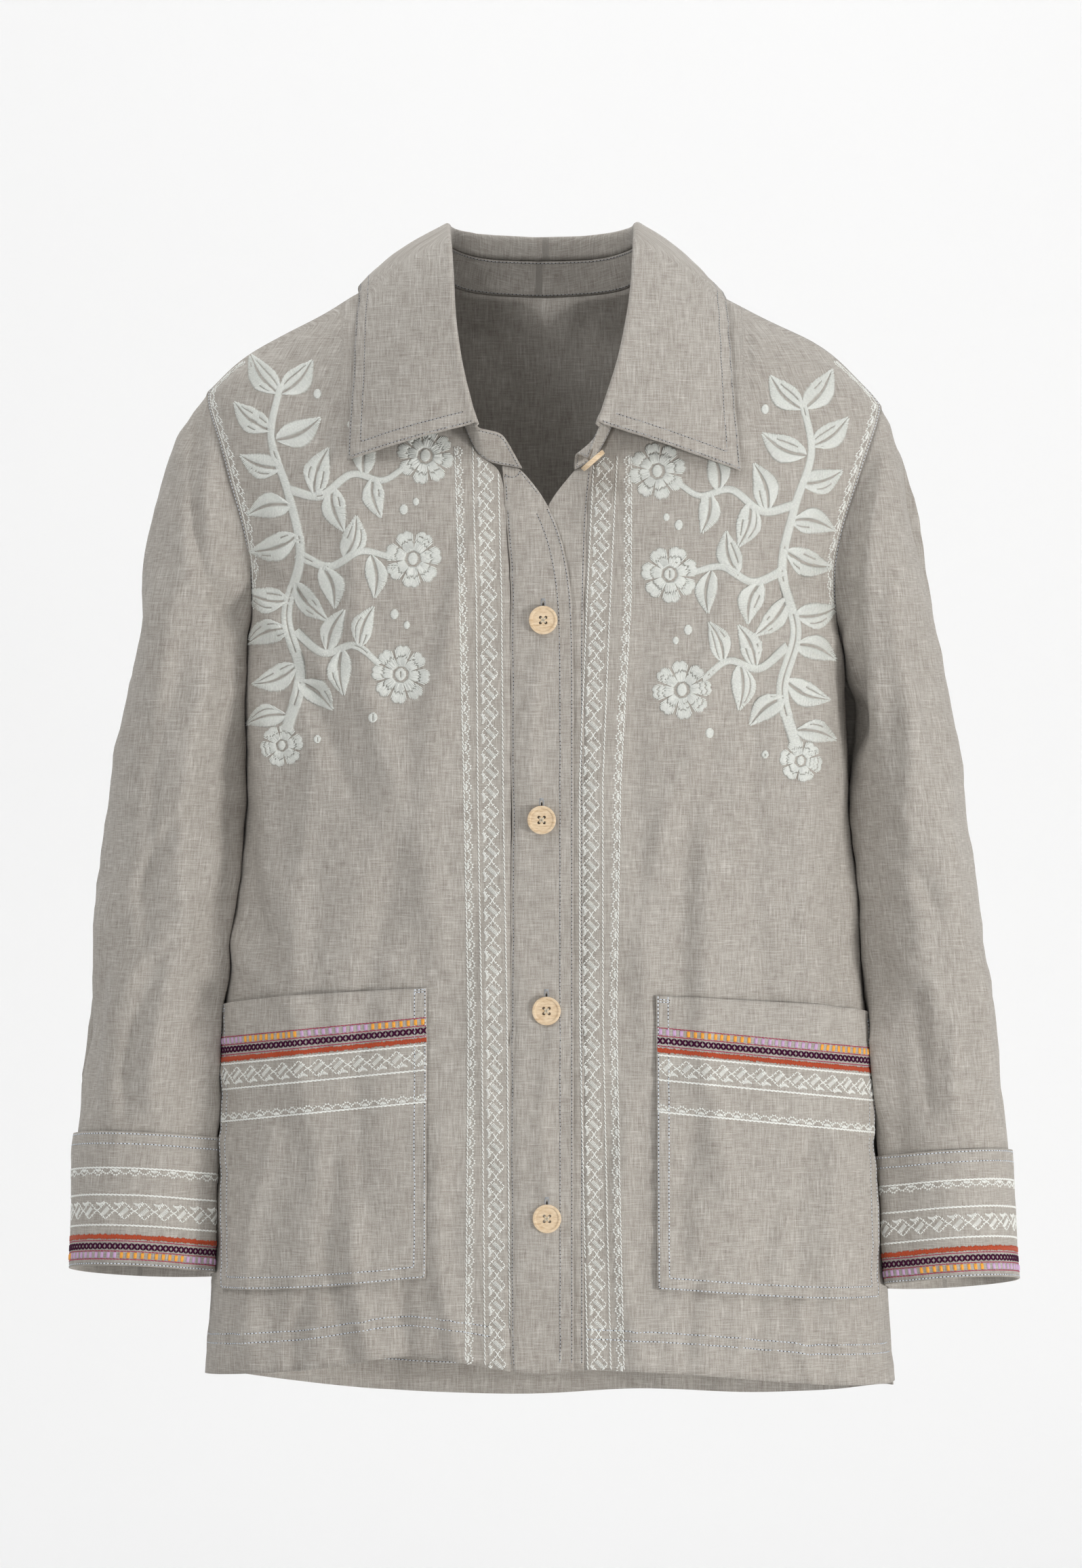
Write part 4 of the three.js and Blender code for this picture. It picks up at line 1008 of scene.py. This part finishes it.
def diamond(strip, along, aside, cell, flip, half):
    size = diamondSizes
    rise = cell / 2 * size["rise"]
    top, foot = (along - rise, aside), (along + rise, aside)
    near, far = (along, aside - half), (along, aside + half)
    for first, last in ((top, near), (near, foot), (top, far), (far, foot)):
        tickedLine(strip, first, last)
    count, pitch, reach, width, height = size["block"]
    for number in range(count):
        shift = (number - count // 2) * pitch
        middle = (along + shift + size["blockShift"], aside + shift * flip + size["blockShift"])
        layAcross(strip, middle, (-reach, reach * flip), width, height)
    count, pitch, reach, width, height = size["flank"]
    leanAlong, leanAside = size["flankLean"]
    for number in range(count):
        shift = size["flankFrom"] + number * pitch
        tapered = reach - number * size["flankTaper"]
        middle = (along + shift * leanAlong, aside + shift * leanAside * flip)
        layAcross(strip, middle, (-tapered, tapered * flip), width, height)
    least, more, turned, turn = size["wingHalf"]
    before, after = size["wingLean"]
    for number in range(size["wing"]):
        share = number / (size["wing"] - 1)
        place = along + cell * (size["wingFrom"] + size["wingRun"] * share)
        bow = size["wingBow"] * math.sin(share * size["wingTurn"])
        out = aside - flip * (half * (size["wingOut"] - size["wingIn"] * share) - bow)
        wide = least + more * math.sin(turned + share * turn)
        layOn(strip, "border", (place + before, out - wide), (place + after, out + wide), *size["wingStitch"])
    reach = size["cross"]
    for way in (1, -1):
        layAcross(strip, (along + cell / 2, aside), (reach, way * reach), *size["crossStitch"])


def diamonds(strip, aside, flip):
    size = borderSizes
    count = int(round(strip.length / size["cell"]))
    cell = strip.length / count
    for number in range(count):
        diamond(strip, (number + 0.5) * cell, aside, cell, flip, size["half"])


# Small arches of ticks along a line, every other one with a satin fill
archSizes = {
    "pitch": 6.4, "height": 4.6, "low": 0.78, "foot": 1.0, "bow": 7, "bowStitch": (0.78, 0.42),
    "ticks": (-0.9, -0.3, 0.3, 0.9), "tickReach": 0.42, "tickDrop": 1.2, "tickIn": 0.5, "tickOut": 1.2,
    "tickStitch": (0.7, 0.42),
    "fill": 5, "fillPitch": 0.14, "fillDrop": 2.2, "fillTaper": 0.16, "fillLean": 0.35, "fillFoot": 0.5,
    "fillStitch": (0.95, 0.46),
}


def arches(strip, base, side):
    size = archSizes
    foot = size["foot"]
    count = int(round(strip.length / size["pitch"]))
    pitch = strip.length / count
    for number in range(count):
        filled = number % 2 == 0
        high = size["height"] * (1.0 if filled else size["low"])
        middle = (number + 0.5) * pitch
        bow = []
        for turn in np.linspace(-math.pi / 2, math.pi / 2, size["bow"]):
            rise = foot + math.cos(turn) * (high - foot)
            bow.append(np.array([middle + math.sin(turn) * pitch * 0.5, base + side * rise]))
        for first, last in zip(bow, bow[1:]):
            layOn(strip, "border", first, last, *size["bowStitch"])
        for turn in size["ticks"]:
            out = np.array([math.sin(turn), side * math.cos(turn)])
            rise = foot + math.cos(turn) * (high - size["tickDrop"])
            spot = np.array([middle + math.sin(turn) * pitch * size["tickReach"], base + side * rise])
            layOn(strip, "border", spot - out * size["tickIn"], spot + out * size["tickOut"],
                  *size["tickStitch"])
        for step in range(size["fill"] if filled else 0):
            off = step - size["fill"] // 2
            place = middle + off * pitch * size["fillPitch"]
            tall = (high - size["fillDrop"]) * (1 - size["fillTaper"] * abs(off))
            low, top = base + side * size["fillFoot"], base + side * (size["fillFoot"] + tall)
            layOn(strip, "border", (place + size["fillLean"], low), (place - size["fillLean"], top),
                  *size["fillStitch"])


# The bright bands: depth below the strip's first line, in the order of the table
brightBands = {
    "pinkLines": (0.0, 5.2, 11.8), "pinkScale": 0.8, "pinkSlant": 0.35,
    # a block is three stitches: shift and height
    "blocks": (0.35, 4.85), "blockPitch": 4.6, "run": 10, "blockWidth": 1.05,
    "blockStitches": ((-0.62, 0.7), (0, 0.95), (0.62, 0.7)),
    "crosses": (6.1, 10.6), "crossPitch": 7.5, "crossStitch": (1.7, 0.6),
    "rust": (12.7, 16.2), "rustPitch": 0.72, "rustRagged": (0.45, 0.55), "rustLean": 0.12,
    "rustStitch": (0.95, 0.5),
}


def brightRows(strip, first, firstRun):
    size = brightBands

    def depth(value):
        return first + value

    def spaced(pitch):
        count = int(round(strip.length / pitch))
        return range(count), strip.length / count

    for line in size["pinkLines"]:
        ropeLine(strip, depth(line), "pink", scale=size["pinkScale"], slant=size["pinkSlant"])
    low, high = size["blocks"]
    numbers, pitch = spaced(size["blockPitch"])
    for number in numbers:
        thread = "lilac" if ((number - firstRun) // size["run"]) % 2 else "orange"
        place = (number + 0.5) * pitch
        for shift, tall in size["blockStitches"]:
            layOn(strip, thread, (place + shift, depth(low)), (place + shift, depth(high)),
                  size["blockWidth"], tall)
    low, high = size["crosses"]
    numbers, pitch = spaced(size["crossPitch"])
    for number in numbers:
        left = number * pitch
        for outer, inner in ((low, high), (high, low)):
            middle = (left + pitch / 2, depth(inner))
            layOn(strip, "purple", (left, depth(outer)), middle, *size["crossStitch"])
            layOn(strip, "purple", middle, (left + pitch, depth(outer)), *size["crossStitch"])
    low, high = size["rust"]
    numbers, pitch = spaced(size["rustPitch"])
    for number in numbers:
        ragged = [chance.uniform(-most, most) for most in size["rustRagged"]]
        place = (number + 0.5) * pitch
        layOn(strip, "rust", (place, depth(low + ragged[0])),
              (place + size["rustLean"], depth(high + ragged[1])), *size["rustStitch"])


chance = random.Random(41)


# Front strips, in photo mm
stripLines = {
    "front_left": {
        "edge": [(-102, -57), (-130, -56), (-199, -53.8), (-338, -50.6), (-472, -48), (-600, -49),
                 (-704, -50)],
        "middle": [(-102, -37), (-130, -36.6), (-199, -34.7), (-338, -33.6), (-472, -31.2), (-600, -30),
                   (-704, -29)],
        "half": 8.2, "side": 1},
    "front_right": {
        "edge": [(-108, 57.8), (-199, 57.5), (-321, 50.6), (-472, 48), (-600, 50.5), (-704, 53)],
        "middle": [(-108, 41), (-199, 36.6), (-321, 31.6), (-472, 31.8), (-600, 34.5), (-704, 37)],
        "half": 7.5, "side": -1},
}


def frontBorders():
    for name, line in stripLines.items():
        edge, middle = FrontStrip(name, line["edge"]), FrontStrip(name, line["middle"])
        ropeLine(edge, 0.0)
        arches(edge, 0.0, line["side"])
        ropeLine(middle, -line["half"])
        ropeLine(middle, line["half"])
        diamonds(middle, 0.0, 1)


# Bands of rows on pockets and cuffs, in mm down from the pocket's corners or up from the cuff's edge
bandSizes = {
    "pocket": {"depths": (16, 84), "bright": 20.5, "ropes": (38.2, 54.4, 75.2), "diamonds": 46.0,
               "arches": 75.0},
    "cuff": {"depths": (0, 86), "bright": 4.2, "ropes": (26.2, 45.8, 63.2), "diamonds": 35.5,
             "arches": 63.0},
    "step": 4.0, "ropeWide": 1.4, "pocketPoints": 180, "cuffPoints": 97,
}


# Pocket bands follow the pocket's top edge
pocketCorners = {
    # photo mm: top left, top right, bottom right, bottom left
    "pocket_left": ((-208.5, -465), (-74.5, -452), (-74.5, -641), (-208.5, -651)),
    "pocket_right": ((73.5, -458.5), (214.5, -472), (219.5, -656), (74.5, -648)),
}


def pocketBand(name, depths):
    topLeft, topRight, footRight, footLeft = [np.array(corner) for corner in pocketCorners[name]]
    rows = []
    for depth in depths:
        left = topLeft + (footLeft - topLeft) * depth / np.linalg.norm(footLeft - topLeft)
        right = topRight + (footRight - topRight) * depth / np.linalg.norm(footRight - topRight)
        shares = np.linspace(0, 1, bandSizes["pocketPoints"])
        row = [seen(name, *(left + (right - left) * share))[0] for share in shares]
        rows.append(np.array([tuple(p) for p in row if p is not None]))
    return Band(name, rows, depths)


# The point of a cuff's open edge that lies in a given direction from its middle
def edgeToward(run, turn):
    off = run - run.mean(axis=0)
    angle = np.arctan2(off[:, 0], off[:, 1]) % (2 * math.pi)
    order = np.argsort(angle)
    at = turn % (2 * math.pi)
    return np.array([np.interp(at, angle[order], run[order][:, k], period=2 * math.pi) for k in range(3)])


# Cuff bands run all the way round
def cuffBand(name, depths):
    loops = [np.array([tuple(p) for p in run]) for run in borders[name]]
    loops.sort(key=lambda run: run[:, 2].mean())
    rows = []
    for depth in depths:
        row = []
        for turn in np.linspace(0, 2 * math.pi, bandSizes["cuffPoints"]):
            under, over = edgeToward(loops[0], turn), edgeToward(loops[-1], turn)
            share = depth * mm / max(np.linalg.norm(over - under), 1e-6)
            row.append(tuple(skins[name].find_nearest(Vector(under + (over - under) * share))[0]))
        rows.append(np.array(row))
    return Band(name, rows, depths)


# Rows on the pockets and cuffs, and where the bright blocks change colour first
def bandBorders():
    for name, firstRun in (("pocket_left", 6), ("pocket_right", 4), ("cuff_left", 6), ("cuff_right", 6)):
        size = bandSizes[name.split("_")[0]]
        makeBand = pocketBand if name in pocketCorners else cuffBand
        band = makeBand(name, np.arange(*size["depths"], bandSizes["step"]))
        brightRows(band, size["bright"], firstRun)
        for line in size["ropes"]:
            ropeLine(band, line, wide=bandSizes["ropeWide"])
        diamonds(band, size["diamonds"], -1)
        arches(band, size["arches"], -1)


# Scallops beside the armhole seam, on the fronts
armholes = {"foot": -206, "top": -44, "beyond": 130, "depths": (2, 5, 8, 11), "rope": 3.6, "scale": 0.9,
            "arches": 4.0}


def armholeBorders():
    size = armholes
    for name, side in (("front_left", -1), ("front_right", 1)):
        run = edgeRun(name, lambda p: size["foot"] < p[2] < size["top"] and p[0] * side > size["beyond"])
        if len(run) > 3:
            band = Band(name, [offsetRun(name, run, depth) for depth in size["depths"]], size["depths"])
            ropeLine(band, size["rope"], scale=size["scale"])
            arches(band, size["arches"], 1)


# Sewing lines that follow an open edge of a piece, in mm; the pockets' mouths are barred at both ends
# Each stitch ends in a dark dot, painted shade where the thread dips into a stitch hole; hole is the dot's
# length
seamSizes = {"pitch": 2.5, "clear": 0.9, "trim": 0.32, "width": 0.62, "paleWidth": 0.92, "height": 0.34,
             "hole": 0.95, "holeShadeWidth": 0.9, "holeShadeHeight": 0.1,
             "bar": (1.4, 8.4), "barDepths": (2.0, 3.6), "barPoints": 6, "mouth": (0.5, 2.0, 3.6, 6.0)}


def offsetRun(name, run, inward):
    run = evenly(run, seamSizes["pitch"] * mm)
    moved = []
    for point, way in zip(run, np.gradient(run, axis=0)):
        normal = skins[name].find_nearest(Vector(point))[1]
        side = Vector(way).cross(normal).normalized()
        spots = []
        for sign in (1, -1):
            spot, _, _, gap = skins[name].find_nearest(Vector(point) + side * sign * inward * mm)
            spots.append((gap, spot))
        moved.append(tuple(min(spots, key=lambda pair: pair[0])[1]))
    moved = np.array(moved)
    return moved[gapsTo(moved, run).min(axis=1) > inward * seamSizes["clear"] * mm]


def sewLine(name, points, side=1):
    size = seamSizes
    pale = name.startswith(("pocket", "cuff", "front", "back"))
    thread, width = ("paleSeam", size["paleWidth"]) if pale else ("seam", size["width"])
    points = evenly(points, size["pitch"] * mm)
    for first, last in zip(points, points[1:]):
        first, last = Vector(first), Vector(last)
        normal = skins[name].find_nearest((first + last) / 2)[1]
        if side < 0:
            normal = -normal
            shift = normal * (clothPieces[name]["wall"] * mm)
            first, last = first + shift, last + shift
        way = (last - first).normalized()
        trim, reach = way * size["trim"] * mm, way * size["hole"] * 0.5 * mm
        lay(name, thread, first + trim, last - trim, normal, width, size["height"])
        # a dark dot, painted shade in the stitch hole where the thread goes down
        lay(name, "needle", last - reach, last + reach, normal, size["holeShadeWidth"], size["holeShadeHeight"])


def sewEdges():
    size = seamSizes
    for name, keep, distances, _ in sewing:
        run = edgeRun(name, keep)
        for distance in distances if len(run) > 3 else ():
            line = offsetRun(name, run, distance)
            sewLine(name, line)
            if name in ("back", "collar_stand"):  # seen from inside too
                sewLine(name, line, -1)
    low, high = size["bar"]
    for name in pocketCorners:
        band = pocketBand(name, size["mouth"])
        for start, end in ((low, high), (band.length - high, band.length - low)):
            for depth in size["barDepths"]:
                stations = np.linspace(start, end, size["barPoints"])
                sewLine(name, np.array([tuple(band.find(at, depth)[0]) for at in stations]))


# The stitched branch on each front: stems, leaves and blossoms, filled with satin stitches. An own design.
branch = {
    # stems: points in photo mm on the left front, then the width at root and tip
    "stems": [
        ([(-166, -286), (-157, -250), (-166, -212), (-157, -172), (-165, -132), (-176, -96), (-170, -62)],
         7.0, 4.0),
        ([(-160, -222), (-142, -236), (-122, -231), (-106, -243)], 5.5, 3.6),
        ([(-159, -172), (-138, -180), (-118, -170), (-98, -174)], 5.5, 3.6),
        ([(-165, -130), (-144, -134), (-124, -120), (-104, -124), (-90, -116)], 5.5, 3.4),
    ],
    # leaves: root, tip, half width, bow
    "leaves": [
        ((-171, -68), (-189, -43), 6.6, 2.5), ((-170, -68), (-150, -47), 6.6, -2.5),
        ((-176, -92), (-199, -74), 6.2, 2.5), ((-173, -98), (-145, -84), 7.0, -3.0),
        ((-168, -116), (-195, -108), 6.4, 3.0), ((-163, -140), (-190, -146), 6.6, -3.0),
        ((-148, -134), (-139, -104), 6.6, 3.0), ((-137, -128), (-129, -156), 6.2, -2.5),
        ((-116, -121), (-111, -95), 6.0, 2.5), ((-159, -160), (-189, -170), 6.8, 3.0),
        ((-143, -179), (-135, -206), 6.4, 3.0), ((-128, -175), (-121, -148), 6.2, -2.5),
        ((-161, -190), (-140, -214), 5.4, -2.5), ((-165, -202), (-192, -196), 6.6, 3.0),
        ((-165, -220), (-191, -230), 6.4, -3.0), ((-140, -235), (-129, -209), 5.6, 2.5),
        ((-130, -233), (-129, -262), 6.2, -2.5), ((-159, -244), (-187, -256), 6.4, 3.0),
        ((-110, -121), (-105, -147), 5.6, -2.5), ((-111, -172), (-109, -199), 5.6, 2.5),
        ((-119, -232), (-110, -207), 5.4, 2.5),
        ((-159, -254), (-137, -272), 6.2, 2.5), ((-166, -276), (-191, -282), 5.8, -2.5),
    ],
    # blossoms: middle, reach, petals, first angle in degrees
    "blossoms": [
        ((-76, -108), 19.5, 8, 12), ((-84, -175), 19.5, 7, 30), ((-92, -250), 20.0, 8, 5),
        ((-169, -296), 14.5, 6, 18),
    ],
    # single round dots: middle, radius
    "dots": [
        ((-90, -143), 3.2), ((-82, -138), 2.4), ((-96, -211), 3.2), ((-88, -218), 2.4), ((-146, -68), 3.0),
        ((-124, -88), 3.0), ((-146, -292), 2.6), ((-110, -278), 3.2), ((-206, -134), 2.4),
    ],
}
satin = {
    # lengths in mm; leaf, stem and petal are gains in width
    "step": 0.78, "width": 1.05, "height": 0.72, "drop": -10.0, "shift": -1.5,
    "leaf": 1.3, "leafFrom": 0.06, "leafSpan": 0.94, "leafRound": 0.8, "leafLeast": 0.5, "lean": 3.0,
    "upright": 0.35, "ragged": 0.25, "vein": 0.25,
    "stem": 1.3, "stemStep": 1.05, "stemSlant": 0.9,
    # shares of a blossom's reach, then of a stitch
    "petal": 0.93, "shoulder": 0.72, "round": 0.28, "notch": 0.06, "notchWidth": 0.2, "heart": 0.24,
    "eye": 0.2, "eyeHeight": 0.85, "foot": 0.34, "joint": 0.52, "jointRagged": 0.08, "jointLap": 0.03,
    "dotStep": 0.85, "dotSlant": 0.3,
}


def mirrored(point, side):
    return (point[0], point[1]) if side < 0 else (-point[0] + satin["shift"], point[1] + satin["drop"])


def satinBetween(name, first, last, height=None):
    layFlat(name, "design", first, last, satin["width"], height or satin["height"])


# Slanting stitches on both sides of a leaf's middle vein
def satinLeaf(name, root, tip, half, bow):
    root, tip = np.array(root, float), np.array(tip, float)
    length = np.linalg.norm(tip - root)
    ahead = (tip - root) / length
    aside = np.array([-ahead[1], ahead[0]])
    count = int(length / satin["step"])
    for number in range(count):
        share = (number + 0.5) / count
        vein = root + ahead * length * share + aside * bow * math.sin(share * math.pi)
        along = min(share * satin["leafSpan"] + satin["leafFrom"], 1.0) ** satin["leafRound"]
        wide = half * satin["leaf"] * math.sin(math.pi * along) + satin["leafLeast"]
        lean = satin["lean"] * (1 - satin["upright"] * share)
        for sign in (1, -1):
            ragged = chance.uniform(-satin["ragged"], satin["ragged"])
            end = vein + aside * sign * (wide + ragged) + ahead * lean
            satinBetween(name, vein + aside * sign * satin["vein"], end)


def satinStem(name, points, rootWidth, tipWidth):
    path = smoothPath(points, satin["step"] * satin["stemStep"])
    for number, (spot, way) in enumerate(zip(path, np.gradient(path, axis=0))):
        way = way / np.linalg.norm(way)
        aside = np.array([-way[1], way[0]])
        wide = (rootWidth + (tipWidth - rootWidth) * number / len(path)) * satin["stem"]
        slant = way * satin["stemSlant"]
        satinBetween(name, spot - aside * wide / 2 - slant, spot + aside * wide / 2 + slant)


# Petals: long stitches fanned out, longer in the middle, with a notched round end
def satinBlossom(name, middle, reach, petals, first):
    size = satin
    middle = np.array(middle, float)
    half = reach * size["shoulder"] * math.tan(math.pi / petals) * size["petal"]
    lines = max(int(2 * half / size["step"]), 3)
    for petal in range(petals):
        turn = math.radians(first + petal * 360 / petals)
        ahead = np.array([math.sin(turn), math.cos(turn)])
        aside = np.array([-ahead[1], ahead[0]])
        for line in range(lines):
            share = (line + 0.5) / lines * 2 - 1
            notch = size["notch"] * math.exp(-(share / size["notchWidth"]) ** 2)
            outer = reach * (size["shoulder"] + size["round"] * math.sqrt(max(1 - share * share, 0)) - notch)
            start = middle + ahead * (reach * size["heart"]) + aside * share * half * size["foot"]
            end = middle + ahead * outer + aside * share * half
            ragged = chance.uniform(-size["jointRagged"], size["jointRagged"])
            joint = start + (end - start) * (size["joint"] + ragged)
            satinBetween(name, start, joint)
            satinBetween(name, joint - (end - start) * size["jointLap"], end)
    satinDot(name, middle, reach * size["eye"], size["eyeHeight"])


def satinDot(name, middle, radius, height=None):
    lines = max(int(2 * radius / (satin["step"] * satin["dotStep"])), 3)
    for line in range(lines):
        share = (line + 0.5) / lines * 2 - 1
        reach = radius * math.sqrt(1 - share * share)
        up = middle[1] + share * radius
        satinBetween(name, (middle[0] - reach, up), (middle[0] + reach, up + satin["dotSlant"]), height)


def stitchedBranch():
    for name, side in (("front_left", -1), ("front_right", 1)):
        for points, rootWidth, tipWidth in branch["stems"]:
            satinStem(name, [mirrored(p, side) for p in points], rootWidth, tipWidth)
        for root, tip, half, bow in branch["leaves"]:
            satinLeaf(name, mirrored(root, side), mirrored(tip, side), half, bow * -side)
        for middle, reach, petals, first in branch["blossoms"]:
            satinBlossom(name, mirrored(middle, side), reach, petals, first * -side)
        for middle, radius in branch["dots"]:
            satinDot(name, mirrored(middle, side), radius)


# Buttons: turned discs with a raised rim, four holes and crossed thread, in mm
buttonSizes = {
    "radius": 9.25, "foot": 0.96, "rim": 1.5, "slope": 0.8, "dish": 0.8, "round": 0.55, "roundSteps": 3,
    "level": 0.01, "segments": 48, "hole": 0.98, "holeOff": 1.75, "holeSegments": 16, "sharp": 38,
    "strands": (-0.5, 0, 0.5), "strandApart": 0.4, "strandOver": 0.1, "strandStitch": (0.55, 0.5),
}


def turnedDisc(thick):
    size = buttonSizes
    shape = bmesh.new()
    bmesh.ops.create_cone(shape, cap_ends=True, segments=size["segments"],
                          radius1=size["radius"] * size["foot"], radius2=size["radius"], depth=thick)
    front = max(shape.faces, key=lambda f: f.calc_center_median().z)
    rims = [e for e in shape.edges if abs(e.verts[0].co.z - e.verts[1].co.z) < size["level"]]
    bmesh.ops.inset_individual(shape, faces=[front], thickness=size["rim"])
    bmesh.ops.inset_individual(shape, faces=[front], thickness=size["slope"], depth=-size["dish"])
    bmesh.ops.bevel(shape, geom=rims, offset=size["round"], offset_type="OFFSET", affect="EDGES",
                    segments=size["roundSteps"], profile=0.5, material=-1)
    return shape


def buttonHoles(thick):
    size = buttonSizes
    off = size["holeOff"]
    holes = bmesh.new()
    for x in (-off, off):
        for y in (-off, off):
            made = bmesh.ops.create_cone(holes, cap_ends=True, segments=size["holeSegments"],
                                         radius1=size["hole"], radius2=size["hole"], depth=thick * 3)
            bmesh.ops.translate(holes, verts=made["verts"], vec=(x, y, 0))
    return holes


# One object's mesh with another's cut away; both objects go
def cutAway(body, cutter):
    cut = body.modifiers.new("holes", "BOOLEAN")
    cut.object = cutter
    cut.solver = "EXACT"
    graph = bpy.context.evaluated_depsgraph_get()
    mesh = bpy.data.meshes.new_from_object(body.evaluated_get(graph))
    for spare in (body, cutter):
        bpy.data.objects.remove(spare)
    return mesh


def addButton(number, wood):
    size = buttonSizes
    points, _ = readArrays(nodes[f"button_{number}"].data)
    middle = (points.max(axis=0) + points.min(axis=0)) / 2
    ways = np.linalg.svd(points - points.mean(axis=0), full_matrices=False)[2]
    out = Vector(ways[2])
    if out.y > 0:
        out = -out
    reach = (points - middle) @ np.array(out)
    thick = (reach.max() - reach.min()) / mm
    upright = Vector((1, 0, 0) if number < 5 else (0, 1, 0))
    across = upright.cross(out).normalized()
    centre = Vector(middle) + out * (reach.max() + reach.min()) / 2
    turn = Matrix((out.cross(across), across, out)).transposed().to_4x4()
    turn.translation = centre
    mesh = cutAway(meshObject(turnedDisc(thick), f"button_body_{number}"),
                   meshObject(buttonHoles(thick), "buttonHoles"))
    mesh.transform(turn @ Matrix.Scale(mm, 4))
    mesh.materials.clear()
    mesh.materials.append(wood)
    mesh.shade_smooth()
    mesh.set_sharp_from_angle(angle=math.radians(size["sharp"]))
    piece = addObject(f"turned_button_{number}", mesh)
    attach(piece, "root")
    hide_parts(f"button_{number}")
    off, height = size["holeOff"], thick / 2 - size["dish"] + size["strandOver"]
    for sign in (1, -1):
        for strand in size["strands"]:
            apart = strand * size["strandApart"]
            ends = [turn @ (Vector((end * off + apart, end * sign * off - apart * sign, height)) * mm)
                    for end in (-1, 1)]
            lay(f"button_{number}", "button", *ends, out, *size["strandStitch"])
    if number < 5:
        addButtonhole(centre / mm)


# The upper end of a buttonhole shows above its button: its opening between bound edges is a near-black
# thread, painted shade where the cut lets no light in, with a bar at its end
holeSizes = {
    "from": 5.0, "to": 11.9, "past": 1.2, "half": 1.0, "pitch": 0.72, "slitShadeStitch": (1.25, 0.32),
    "boundIn": 0.55, "boundOut": 0.75, "boundStitch": (0.7, 0.34),
    "bars": 3, "barFrom": 0.9, "barPitch": 0.5, "barOut": 0.6, "barStitch": (0.6, 0.36),
}


def addButtonhole(centre):
    size = holeSizes

    def spot(across, up):
        start = Vector(((centre.x + across) * mm, -1, (centre.z + up) * mm))
        return skins["placket"].ray_cast(start, Vector((0, 1, 0)))[:2]

    def stitch(thread, first, last, width, height):
        start, normal = spot(*first)
        lay("placket", thread, start, spot(*last)[0], normal, width, height)

    # painted shade: a near-black thread down the opening, where no light reaches the cloth beneath
    stitch("slit", (0, size["from"]), (0, size["to"]), *size["slitShadeStitch"])
    for number in range(int((size["to"] + size["past"] - size["from"]) / size["pitch"])):
        up = size["from"] + number * size["pitch"]
        for side in (-1, 1):
            stitch("seam", (side * size["boundIn"], up), (side * (size["half"] + size["boundOut"]), up),
                   *size["boundStitch"])
    for number in range(size["bars"]):
        up = size["to"] + size["barFrom"] + number * size["barPitch"]
        reach = size["half"] + size["barOut"]
        stitch("seam", (-reach, up), (reach, up), *size["barStitch"])


threadColours = {
    # colour, painted shade between stitches, roughness
    "border": (srgb(238, 239, 234), 0.86, 0.55), "design": (srgb(226, 228, 222), 0.74, 0.55),
    "purple": (srgb(62, 6, 46), 0.8, 0.8), "pink": (srgb(168, 42, 82), 0.8, 0.5),
    "lilac": (srgb(206, 170, 208), 0.9, 0.5), "orange": (srgb(246, 172, 62), 0.9, 0.5),
    "rust": (srgb(186, 74, 38), 0.72, 0.55), "seam": (srgb(172, 174, 177), 0.85, 0.7),
    # painted shade: the near-black thread of the dots in the stitch holes
    "paleSeam": (srgb(220, 226, 233), 0.92, 0.7), "needle": (srgb(58, 56, 58), 0.8, 0.9),
    # painted shade: the near-black thread of the buttonhole's opening
    "slit": (srgb(38, 34, 32), 0.8, 0.95), "button": (srgb(226, 214, 190), 0.85, 0.6),
}


addCamera()
addLights()
addStage()
print("cutting the cloth")
linen = linenMaterial()
for name in clothPieces:
    cutCloth(name)
cloths = {name: addCloth(name, linen) for name in clothPieces}
print("stitching the borders")
frontBorders()
bandBorders()
armholeBorders()
print("stitching the branches")
stitchedBranch()
print("sewing")
sewEdges()
print("buttons")
wood = woodMaterial()
for number in range(1, 6):
    addButton(number, wood)
threads = {name: threadMaterial("thread_" + name, *look) for name, look in threadColours.items()}
sewn = {}       # thread pieces by the cloth that they are on
for piece, thread in laid:
    sewn.setdefault(piece, []).append(build(piece, thread, threads[thread]))
    print("laid", piece, thread, len(laid[(piece, thread)]))
